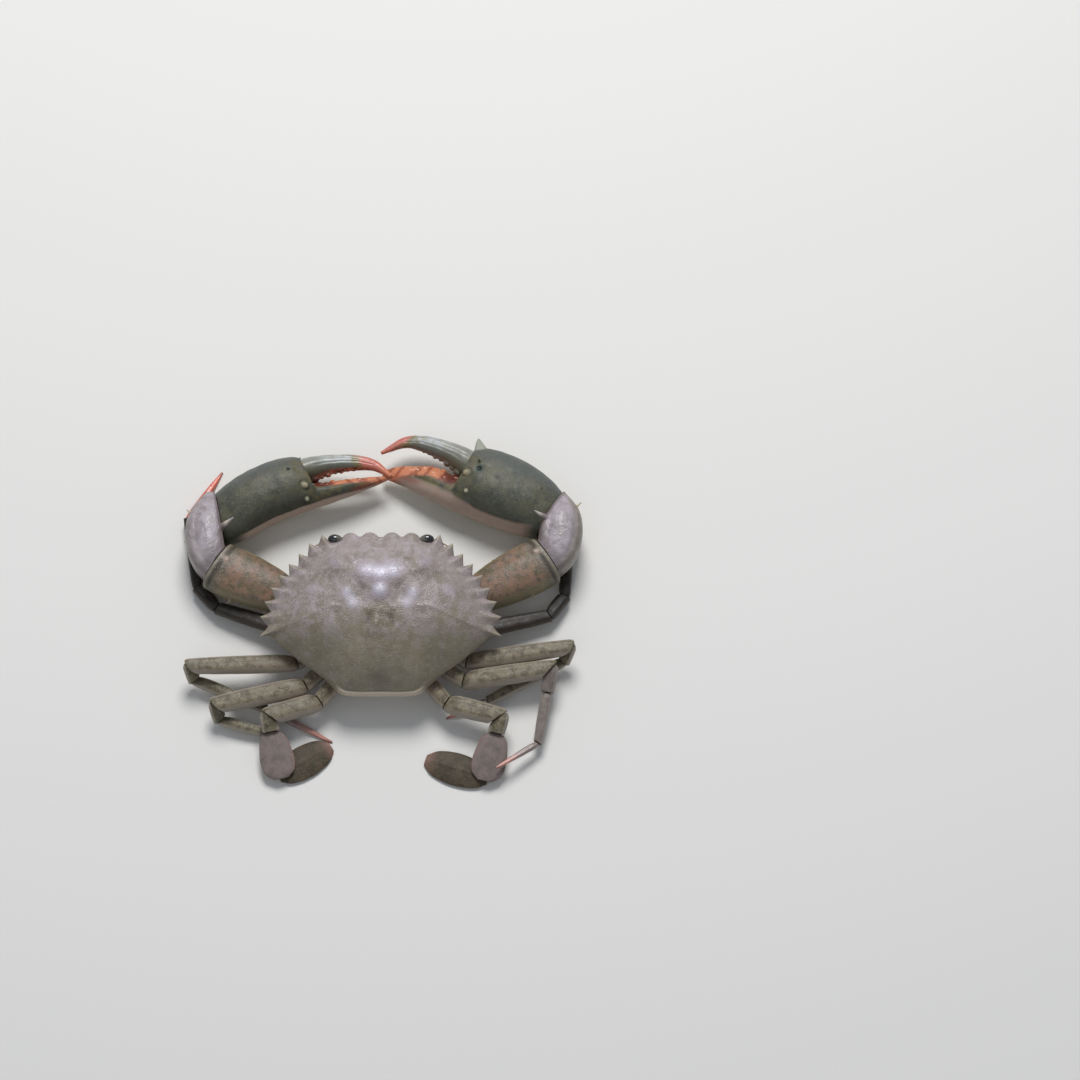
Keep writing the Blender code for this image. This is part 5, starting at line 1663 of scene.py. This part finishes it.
def build_palm(name, arm, wrist, wrist_faces, finish):
    """The palm with its fixed finger: fine relief, and the marks for its colours."""
    rows = pollex_rows(arm)
    piece = store(palm_form(name, arm, rows, wrist, wrist_faces), f"{name}_palm")
    x, y, z = claw_places(arm, piece.data)
    own = np.where(x > HINGE_ALONG, HINGE_ALONG + (x - HINGE_ALONG) / arm["length"], x)
    fuller = bellied(arm, PALM[:-1]) + rows[2:]
    lows = np.interp(own, [row[0] for row in fuller], [row[1] for row in fuller])
    over = step(z, 0.0, 4.0)
    line = arm["ridge"] * (1.0 - 0.6 * step(own, 60.0, 108.0)) + finger_sag(own, arm["dip"])
    low_run = (1.0 - step(y - lows, 4.0, 8.0)) * step(x, 2.0, 12.0) * (1.0 - step(x, 88.0, 104.0))
    ridge = np.exp(-((z - line) / 1.4) ** 2) * low_run
    below = np.exp(-((z - line + 4.0) / 2.6) ** 2) * low_run
    pit_x, pit_y, pit_r = arm["pit"]
    knob_x, knob_y, knob_r = arm["knob"]
    pit = spot(x, y, pit_x, pit_y, pit_r * 1.15) * over
    moat = np.exp(-((np.hypot(x - knob_x, y - knob_y) - knob_r * 1.2) / 0.9) ** 2) * over
    furrow = np.exp(-((y - lows - 7.5) / 1.1) ** 2) * over * step(x, 64.0, 74.0)
    raise_skin(piece.data, 0.45 * ridge - 0.35 * below - 0.9 * pit - 0.45 * moat - 0.3 * furrow
               + waves(points_of(piece.data), 6.0, 0.22))
    height = y - np.interp(own, [row[0] for row in rows], [row[2] for row in rows])
    below_edge = 1.0 - step(height, 4.0, 7.0)
    bitten = np.minimum(0.0, height + arm["biting"] * 0.5) / (arm["biting"] * 0.55)
    write_marks(
        piece.data, rise=y / 24.0, along=own / 111.0, pit=pit,
        lower=(1.0 - step(z - line, -1.1, 0.8)) * low_run, keel=np.exp(-((z - line) / 1.6) ** 2) * low_run,
        under=step(-facing_of(piece.data)[:, 2], 0.1, 0.7), inner=step(height, -9.0, -2.0) * below_edge,
        bite=np.exp(-bitten**2) * step(own, 60.0, 65.0) * below_edge,
        bars=0.5 + 0.5 * np.sin(own * 0.72 + 1.2 * np.sin(own * 0.37) + y * 0.12),
        halo=spot(x, y, pit_x, pit_y, pit_r * 2.0) * over, knob=spot(x, y, knob_x, knob_y, knob_r) * over,
        dot=spot(x, y, *arm["dot"], 1.5) * over, fin=near_tips(points_of(piece.data), FINS[name], 6.0),
    )
    finish_piece(piece, finish, f"{name}_palm")


def build_dactyl(name, arm, finish):
    """The movable finger, whose base sits in the palm's hollow."""
    origin, along, forward, _ = claw_frame(arm)
    rows = dactyl_rows(arm)
    edge = [(place, low) for place, low, _, _ in rows]
    teeth = finger_teeth(arm, edge, rows[-1][0], -1, dactyl_lift(arm), arm["reach"], arm["gape"])
    bm = melted([dactyl_tube(arm)] + teeth, FINGER_FINENESS, 4)
    cut(bm, origin + along * (HINGE_ALONG - 4.5) + forward * HINGE_UP, along)
    piece = store(bm, f"{name}_dactyl")
    x, y, _ = claw_places(arm, piece.data)
    own_x, own_y = unturned(x, y, arm["gape"], arm["reach"])
    places = [row[0] for row in rows]
    lows = np.interp(own_x, places, [row[1] for row in rows])
    highs = np.interp(own_x, places, [row[2] for row in rows])
    rise = (own_y - lows) / np.maximum(1.0, highs - lows)
    run = step(own_x, 63.0, 70.0) * (1.0 - step(own_x, 98.0, 108.0))
    furrow = (np.exp(-((rise - 0.42) / 0.06) ** 2) + np.exp(-((rise - 0.72) / 0.06) ** 2)) * run
    raise_skin(piece.data, -0.35 * furrow + waves(points_of(piece.data), 5.0, 0.16))
    shown = step(facing_of(piece.data)[:, 2], 0.35, 0.7) * step(own_y - lows, -0.8, 0.3)
    bite = np.exp(-(np.maximum(0.0, own_y - lows + 0.3) / 1.3) ** 2) * step(own_x, 60.0, 66.0)
    bite *= (1.0 - shown) * arm["bitten"]
    write_marks(piece.data, along=own_x / 110.0 - arm["pink"], rise=rise, bite=bite,
                under=step(-facing_of(piece.data)[:, 2], 0.2, 0.8))
    finish_piece(piece, finish, f"{name}_dactyl")


def merus_finish(settings):
    """The claw arm's long length: brown pink and granular, olive towards its edges."""
    finish = Finish("crab_arm", chosen(settings.arm_colour), 0.5, coat=0.1, coat_roughness=0.3)
    finish.tint(finish.band(finish.cloud(8.0, 4.0), 0.35, 0.68), tone(98, 88, 64))
    net = finish.band(finish.grains(2.4), 0.42, 0.18, 0.0, 0.3)
    finish.tint(net, tone(146, 118, 98))
    violet = finish.band(finish.cloud(4.5, 4.0, 0.6), 0.5, 0.66, 0.0, 0.5)
    finish.tint(violet, tone(118, 100, 98))
    dark = finish.band(finish.cloud(4.0, 4.0, 0.6), 0.5, 0.64, 0.0, 0.6)
    finish.tint(dark, tone(78, 68, 54))
    edge = finish.band(finish.from_middle(), 0.72, 0.98, 0.0, 0.6)
    finish.tint(edge, tone(134, 128, 96))
    finish.tint(finish.marked("end", 0.3, 0.9, 0.0, 0.85), tone(88, 84, 72))
    specks = finish.band(finish.grains(1.9), 0.34, 0.12, 0.0, 0.7)
    specks = finish.times(specks, finish.marked("end", 0.1, 0.5))
    finish.tint(specks, tone(150, 142, 122))
    finish.tint(finish.marked("groove", 0.2, 0.8, 0.0, 0.6), tone(56, 46, 40))
    finish.tint(finish.marked("lip", 0.2, 0.8, 0.0, 0.5), tone(146, 138, 120))
    finish.tint(finish.marked("knob", 0.25, 0.8, 0.0, 0.85), tone(192, 168, 152))
    finish.tint(finish.marked("up", 0.0, -0.7, 0.0, 0.9), tone(196, 180, 152))
    finish.joint_skin()
    finish.granules(1.4, 0.55, 0.1)
    finish.relief(finish.cloud(0.6), 0.05)
    return finish.done()


def carpus_finish(settings):
    """The wrist's shield: glossy grey mauve, with cream spines."""
    finish = Finish("crab_wrist", chosen(settings.wrist_colour), 0.42, coat=0.25, coat_roughness=0.26)
    finish.tint(finish.band(finish.cloud(8.0, 4.0), 0.35, 0.68), tone(118, 108, 106))
    pale = finish.band(finish.cloud(4.0, 3.0), 0.5, 0.7, 0.0, 0.45)
    finish.tint(pale, tone(160, 151, 155))
    finish.tint(finish.marked("across", -0.5, -0.95, 0.0, 0.5), tone(110, 104, 80))
    finish.tint(finish.marked("tip", 0.2, 0.55), tone(204, 190, 162))
    # Painted highlight: the upper face lighter lilac grey where the main light falls on it
    painted_highlight_facet = finish.times(finish.marked("up", 0.72, 1.0), finish.band(finish.cloud(5.0), 0.4, 0.6, 0.3, 0.9))
    finish.tint(painted_highlight_facet, tone(172, 163, 170))
    finish.tint(finish.marked("crease", 0.2, 0.9, 0.0, 0.6), tone(82, 60, 58))
    finish.tint(finish.times(finish.mark("base"), 0.55), tone(96, 84, 84))
    finish.tint(finish.marked("up", -0.1, -0.7, 0.0, 0.9), tone(198, 184, 158))
    finish.joint_skin()
    finish.granules(1.3, 0.5, 0.09)
    finish.relief(finish.cloud(3.0, 3.0), 0.5)
    return finish.done(finish.band(finish.cloud(4.0), 0.3, 0.7, 0.34, 0.52))


def palm_finish(settings):
    """The palm: grey green and netted above, with a painted bluish sheen towards the upper edge and painted
    shade lower down and along the ridge, mauve below its ridge, orange on the biting edge.
    """
    finish = Finish("crab_palm", chosen(settings.palm_colour), 0.52, coat=0.06, coat_roughness=0.3,
                    level=0.34)
    finish.tint(finish.band(finish.cloud(9.0, 5.0, 0.62), 0.36, 0.64), tone(64, 67, 57))
    pale = finish.band(finish.cloud(4.2, 4.0, 0.6, 0.6), 0.5, 0.68, 0.0, 0.4)
    finish.tint(pale, tone(100, 101, 90))
    violet = finish.band(finish.cloud(5.5, 3.0, 0.55, 0.4), 0.54, 0.7, 0.0, 0.4)
    finish.tint(violet, tone(92, 82, 84))
    net = finish.band(finish.grains(2.6, "DISTANCE_TO_EDGE"), 0.14, 0.03, 0.0, 0.3)
    net = finish.times(net, finish.band(finish.cloud(6.0), 0.4, 0.62))
    finish.tint(net, tone(112, 108, 80))
    flecks = finish.band(finish.cloud(1.7, 3.0, 0.6), 0.56, 0.68, 0.0, 0.45)
    finish.tint(flecks, tone(118, 112, 96))
    # Painted sheen: bluish grey towards the upper edge
    finish.tint(finish.marked("rise", 0.3, 0.8, 0.0, 0.6), tone(88, 94, 94))
    # Painted shade: darker towards the lower edge
    finish.tint(finish.marked("rise", 0.1, -0.6, 0.0, 0.6), tone(52, 56, 46))
    distal = finish.times(finish.marked("along", 0.44, 0.56),
                          finish.band(finish.cloud(5.0, 4.0), 0.4, 0.62))
    finish.tint(finish.times(distal, 0.8), tone(100, 90, 58))
    # Painted shadow along the ridge, above the lower band
    finish.tint(finish.marked("keel", 0.2, 0.8, 0.0, 0.5), tone(50, 46, 42))
    finish.tint(finish.mark("lower"), chosen(settings.band_colour))
    outer = finish.times(finish.marked("along", 0.8, 0.92), finish.mark("inner"))
    outer = finish.maths("MAXIMUM", outer, finish.marked("along", 0.84, 0.96))
    finish.tint(outer, chosen(settings.finger_colour))
    red_line = finish.times(finish.mark("keel"), finish.marked("along", 0.7, 0.8))
    finish.tint(finish.times(red_line, 0.7), tone(124, 52, 38))
    bite = finish.marked("bite", 0.12, 0.6)
    bars = finish.band(finish.plus(finish.mark("bars"),
                                   finish.band(finish.cloud(2.6), 0.3, 0.7, -0.3, 0.3)), 0.5, 0.8)
    biting = finish.blend(finish.times(bars, 0.75), tone(196, 124, 90), tone(140, 72, 50))
    biting = finish.blend(finish.marked("along", 0.69, 0.61, 0.0, 0.9), biting, tone(76, 26, 20))
    gleams = finish.band(finish.cloud(3.4, 2.0), 0.6, 0.68, 0.0, 0.7)
    biting = finish.blend(gleams, biting, tone(226, 186, 158))
    finish.tint(bite, biting)
    finish.tint(finish.marked("under", 0.2, 0.8), tone(196, 182, 150))
    finish.tint(finish.marked("halo", 0.25, 0.7, 0.0, 0.6), tone(56, 80, 74))
    finish.tint(finish.marked("fin", 0.1, 0.5, 0.0, 0.8), tone(160, 162, 148))
    # Painted shade: near black in the small hollow
    finish.tint(finish.marked("pit", 0.35, 0.6), tone(16, 18, 18))
    finish.tint(finish.marked("knob", 0.3, 0.7, 0.0, 0.9), tone(150, 138, 112))
    finish.tint(finish.marked("dot", 0.3, 0.7), tone(156, 152, 128))
    finish.joint_skin()
    finish.granules(1.2, 0.5, 0.07)
    finish.relief(finish.cloud(0.7), 0.05)
    return finish.done(finish.band(finish.cloud(5.0), 0.3, 0.7, 0.46, 0.6))


def finger_finish():
    """The movable finger: pale blue grey at its root, partly a painted sheen on top, darker in its lower
    half, partly painted shade, then pink orange, with a dark banded biting edge.
    """
    # The pale blue grey base stands partly for a painted sheen on the finger's top
    finish = Finish("crab_finger", tone(164, 167, 166), 0.36, coat=0.3, coat_roughness=0.24)
    wander = finish.band(finish.cloud(5.0), 0.3, 0.7, -0.015, 0.015)
    along = finish.plus(finish.mark("along"), wander)
    finish.tint(finish.band(finish.cloud(5.0, 3.0), 0.4, 0.65), tone(146, 146, 136))
    # Darker lower half, partly painted shade below the lit top
    lower = finish.marked("rise", 0.55, 0.25)
    finish.tint(finish.times(lower, 0.85), tone(88, 88, 76))
    finish.tint(finish.band(along, 0.62, 0.7, 0.5, 0.0), tone(96, 92, 66))
    ring = finish.times(finish.band(along, 0.8, 0.85), finish.band(along, 0.9, 0.86))
    finish.tint(finish.times(ring, 0.8), tone(116, 104, 58))
    finish.tint(finish.band(along, 0.85, 0.89), tone(186, 104, 88))
    finish.tint(finish.band(along, 0.93, 0.99, 0.0, 0.8), tone(204, 118, 72))
    bite = finish.times(finish.marked("bite", 0.15, 0.6), finish.marked("along", 0.96, 0.86, 0.3, 1.0))
    biting = finish.blend(finish.band(finish.cloud(3.2, 2.0), 0.46, 0.56), tone(168, 100, 76),
                          tone(84, 36, 28))
    finish.tint(bite, biting)
    finish.tint(finish.marked("under", 0.3, 0.9, 0.0, 0.7), tone(206, 170, 140))
    finish.relief(finish.cloud(0.8), 0.06)
    return finish.done()


def build_stage(settings):
    """A plain pale floor, soft light from above and behind, and the camera."""
    build_floor(settings)
    add_light("key_light", settings.key_azimuth, settings.key_height, KEY_DISTANCE, settings.key_size,
              settings.key_power)
    add_light("fill_light", FILL_AZIMUTH, FILL_HEIGHT, FILL_DISTANCE, FILL_SIZE, settings.fill_power)
    world = bpy.data.worlds.new("studio_air")
    bpy.context.scene.world = world
    world.use_nodes = True
    air = world.node_tree.nodes["Background"]
    air.inputs["Color"].default_value = chosen(settings.air_colour)
    air.inputs["Strength"].default_value = settings.air_strength
    build_camera()
    bpy.context.scene.view_settings.view_transform = "Standard"


def build_floor(settings):
    """The floor, a touch below the model so that the two never share a plane."""
    bm = bmesh.new()
    bmesh.ops.create_circle(bm, cap_ends=True, segments=96, radius=FLOOR_RADIUS)
    bmesh.ops.translate(bm, vec=(0, 0, -FLOOR_DROP), verts=bm.verts)
    floor = store(bm, "studio_floor")
    finish = Finish("studio_floor", chosen(settings.floor_colour), 0.75, level=0.2)
    finish.relief(finish.cloud(3.0), 0.02)
    floor.data.materials.append(finish.done())


def build_camera():
    """A long lens that looks down at the frame of the photograph."""
    middle = Vector((BODY_ACROSS, BODY_FORWARD, BODY_HEIGHT))
    up = Vector((0, math.sin(CAMERA_HEIGHT_ANGLE), math.cos(CAMERA_HEIGHT_ANGLE)))
    back = Vector((0, -math.cos(CAMERA_HEIGHT_ANGLE), math.sin(CAMERA_HEIGHT_ANGLE)))
    target = middle + Vector((FRAME_ACROSS, 0, 0)) + up * FRAME_UP
    camera = bpy.data.objects.new("camera", bpy.data.cameras.new("camera"))
    bpy.context.scene.collection.objects.link(camera)
    camera.location = (target + back * CAMERA_DISTANCE) * MM
    camera.rotation_euler = (math.pi / 2 - CAMERA_HEIGHT_ANGLE, 0, 0)
    camera.data.sensor_width = SENSOR_WIDTH
    camera.data.lens = SENSOR_WIDTH * CAMERA_DISTANCE / FRAME_WIDTH
    camera.data.clip_start, camera.data.clip_end = CAMERA_CLIP
    bpy.context.scene.camera = camera


def add_light(name, azimuth, height, distance, size, power):
    """A soft round light that faces the model; azimuth turns from ahead of the crab to its right."""
    light = bpy.data.lights.new(name, "AREA")
    light.shape = "DISK"
    light.size = size
    light.energy = power
    lamp = bpy.data.objects.new(name, light)
    bpy.context.scene.collection.objects.link(lamp)
    heading = Vector((math.sin(azimuth) * math.cos(height), math.cos(azimuth) * math.cos(height),
                      math.sin(height)))
    lamp.location = heading * distance
    lamp.rotation_euler = heading.to_track_quat("Z", "Y").to_euler()


def colour_choice(name, description, red, green, blue):
    """A colour property in display values."""
    default = (red / 255.0, green / 255.0, blue / 255.0)
    return FloatVectorProperty(name=name, description=description, subtype="COLOR_GAMMA", size=3, min=0.0,
                               max=1.0, default=default)


class ShellSettings(bpy.types.PropertyGroup):
    """Sizes and colours of the shell, the eyes and the underside."""

    tooth_reach: FloatProperty(
        name="Side tooth reach", description="How far the side teeth stand out from the rim",
        default=0.0056, min=0.002, max=0.008, unit="LENGTH", subtype="DISTANCE")
    spine_reach: FloatProperty(
        name="Last spine reach", description="How far the last and longest spine stands out from the rim",
        default=0.0070, min=0.002, max=0.009, unit="LENGTH", subtype="DISTANCE")
    relief: FloatProperty(
        name="Relief", description="Strength of the bumps and grooves of the back",
        default=1.0, min=0.0, max=2.0)
    granule_size: FloatProperty(
        name="Granule size", description="Spacing of the fine granules on the shell",
        default=0.0011, min=0.0004, max=0.004, unit="LENGTH", subtype="DISTANCE")
    front_colour: colour_choice("Front colour", "Shell colour at the front and middle", 154, 141, 140)
    rear_colour: colour_choice("Rear colour", "Shell colour towards the rear", 130, 122, 101)
    belly_colour: colour_choice("Belly colour", "Colour of the underside", 202, 190, 164)
    eye_colour: colour_choice("Eye colour", "Colour of the cornea", 22, 22, 25)
    feeler_colour: colour_choice("Feeler colour", "Colour of the antennae at their roots", 128, 88, 74)


class ClawSettings(bpy.types.PropertyGroup):
    """Colours of the claws and their arms."""

    palm_colour: colour_choice("Palm colour", "Upper side of the palm", 88, 85, 68)
    band_colour: colour_choice("Lower band colour", "Palm below its ridge", 172, 150, 136)
    finger_colour: colour_choice("Finger colour", "Outer half of the fingers", 192, 112, 86)
    arm_colour: colour_choice("Arm colour", "Long length of the claw arm", 132, 102, 82)
    wrist_colour: colour_choice("Wrist colour", "Shield at the wrist", 152, 141, 140)


class LegSettings(bpy.types.PropertyGroup):
    """Colours of the walking legs and the swimming legs."""

    leg_colour: colour_choice("Leg colour", "Upper side of the walking legs", 118, 110, 90)
    plate_colour: colour_choice("Plate colour", "Flat plate before each paddle", 128, 114, 110)
    paddle_colour: colour_choice("Paddle colour", "Last plate of the swimming legs", 84, 72, 56)


class StageSettings(bpy.types.PropertyGroup):
    """Floor and light."""

    floor_colour: colour_choice("Floor colour", "Colour of the plain floor", 226, 224, 220)
    air_colour: colour_choice("Air colour", "Colour of the soft light from all round", 226, 234, 245)
    air_strength: FloatProperty(
        name="Air strength", description="Strength of the soft light from all round", default=0.36, min=0.0)
    key_power: FloatProperty(
        name="Key power", description="Power of the main light", default=46.0, min=0.0, unit="POWER")
    fill_power: FloatProperty(
        name="Fill power", description="Power of the weaker light", default=4.0, min=0.0, unit="POWER")
    key_size: FloatProperty(
        name="Key size", description="Width of the main light", default=1.1, min=0.05, unit="LENGTH")
    key_azimuth: FloatProperty(
        name="Key azimuth", description="Direction of the main light, turning from ahead of the crab",
        default=math.radians(2), subtype="ANGLE", unit="ROTATION")
    key_height: FloatProperty(
        name="Key height", description="How high above the floor the main light stands",
        default=math.radians(56), subtype="ANGLE", unit="ROTATION")


class CRAB_OT_shell(bpy.types.Operator):
    """Build the shell over the back"""

    bl_idname = "crab.shell"
    bl_label = "Shell"

    def execute(self, context):
        build_shell(context.scene.crab_shell)
        return {"FINISHED"}


class CRAB_OT_eyes(bpy.types.Operator):
    """Build the eyes and their stalks"""

    bl_idname = "crab.eyes"
    bl_label = "Eyes"

    def execute(self, context):
        build_eyes(context.scene.crab_shell)
        return {"FINISHED"}


class CRAB_OT_underside(bpy.types.Operator):
    """Build the thorax, the folded abdomen and the mouth plates"""

    bl_idname = "crab.underside"
    bl_label = "Underside"

    def execute(self, context):
        build_thorax(context.scene.crab_shell)
        build_belly_plates(core_surface())
        return {"FINISHED"}


class CRAB_OT_feelers(bpy.types.Operator):
    """Build the two ringed antennae"""

    bl_idname = "crab.feelers"
    bl_label = "Feelers"

    def execute(self, context):
        build_feelers(context.scene.crab_shell, core_surface())
        return {"FINISHED"}


class CRAB_OT_claws(bpy.types.Operator):
    """Build both claw arms, with their palms and fingers"""

    bl_idname = "crab.claws"
    bl_label = "Claws"

    def execute(self, context):
        settings = context.scene.crab_claws
        surface = core_surface()
        finishes = {"merus": merus_finish(settings), "carpus": carpus_finish(settings)}
        palm = palm_finish(settings)
        finger = finger_finish()
        for name, arm in ARMS.items():
            wrist, wrist_faces = build_arm(name, arm, finishes, surface)
            build_palm(name, arm, wrist, wrist_faces, palm)
            build_dactyl(name, arm, finger)
        return {"FINISHED"}


class CRAB_OT_legs(bpy.types.Operator):
    """Build the six walking legs"""

    bl_idname = "crab.legs"
    bl_label = "Walking legs"

    def execute(self, context):
        build_legs(context.scene.crab_legs, core_surface())
        return {"FINISHED"}


class CRAB_OT_paddles(bpy.types.Operator):
    """Build the two swimming legs with their paddles"""

    bl_idname = "crab.paddles"
    bl_label = "Swimming legs"

    def execute(self, context):
        build_paddles(context.scene.crab_legs, core_surface())
        return {"FINISHED"}


class CRAB_OT_stage(bpy.types.Operator):
    """Build the floor, the lights and the camera"""

    bl_idname = "crab.stage"
    bl_label = "Stage"

    def execute(self, context):
        build_stage(context.scene.crab_stage)
        return {"FINISHED"}


OPERATORS = (
    CRAB_OT_shell, CRAB_OT_eyes, CRAB_OT_underside, CRAB_OT_feelers, CRAB_OT_claws, CRAB_OT_legs,
    CRAB_OT_paddles, CRAB_OT_stage,
)
SETTINGS = (
    ("crab_shell", ShellSettings), ("crab_claws", ClawSettings), ("crab_legs", LegSettings),
    ("crab_stage", StageSettings),
)


class CRAB_PT_sidebar(bpy.types.Panel):
    """Lists the crab's settings and the operators that build it"""

    bl_idname = "CRAB_PT_sidebar"
    bl_label = "Mud Crab"
    bl_space_type = "VIEW_3D"
    bl_region_type = "UI"
    bl_category = "Mud Crab"

    def draw(self, context):
        for operator in OPERATORS:
            self.layout.operator(operator.bl_idname)
        for name, _ in SETTINGS:
            group = getattr(context.scene, name)
            for setting in group.__annotations__:
                self.layout.prop(group, setting)


def register():
    for name, group in SETTINGS:
        bpy.utils.register_class(group)
        setattr(bpy.types.Scene, name, PointerProperty(type=group))
    for operator in OPERATORS:
        bpy.utils.register_class(operator)
    bpy.utils.register_class(CRAB_PT_sidebar)


def unregister():
    bpy.utils.unregister_class(CRAB_PT_sidebar)
    for operator in reversed(OPERATORS):
        bpy.utils.unregister_class(operator)
    for name, group in reversed(SETTINGS):
        delattr(bpy.types.Scene, name)
        bpy.utils.unregister_class(group)


def main():
    register()
    bpy.ops.crab.shell()
    bpy.ops.crab.eyes()
    bpy.ops.crab.underside()
    bpy.ops.crab.feelers()
    bpy.ops.crab.claws()
    bpy.ops.crab.legs()
    bpy.ops.crab.paddles()
    bpy.ops.crab.stage()


if __name__ == "__main__":
    main()
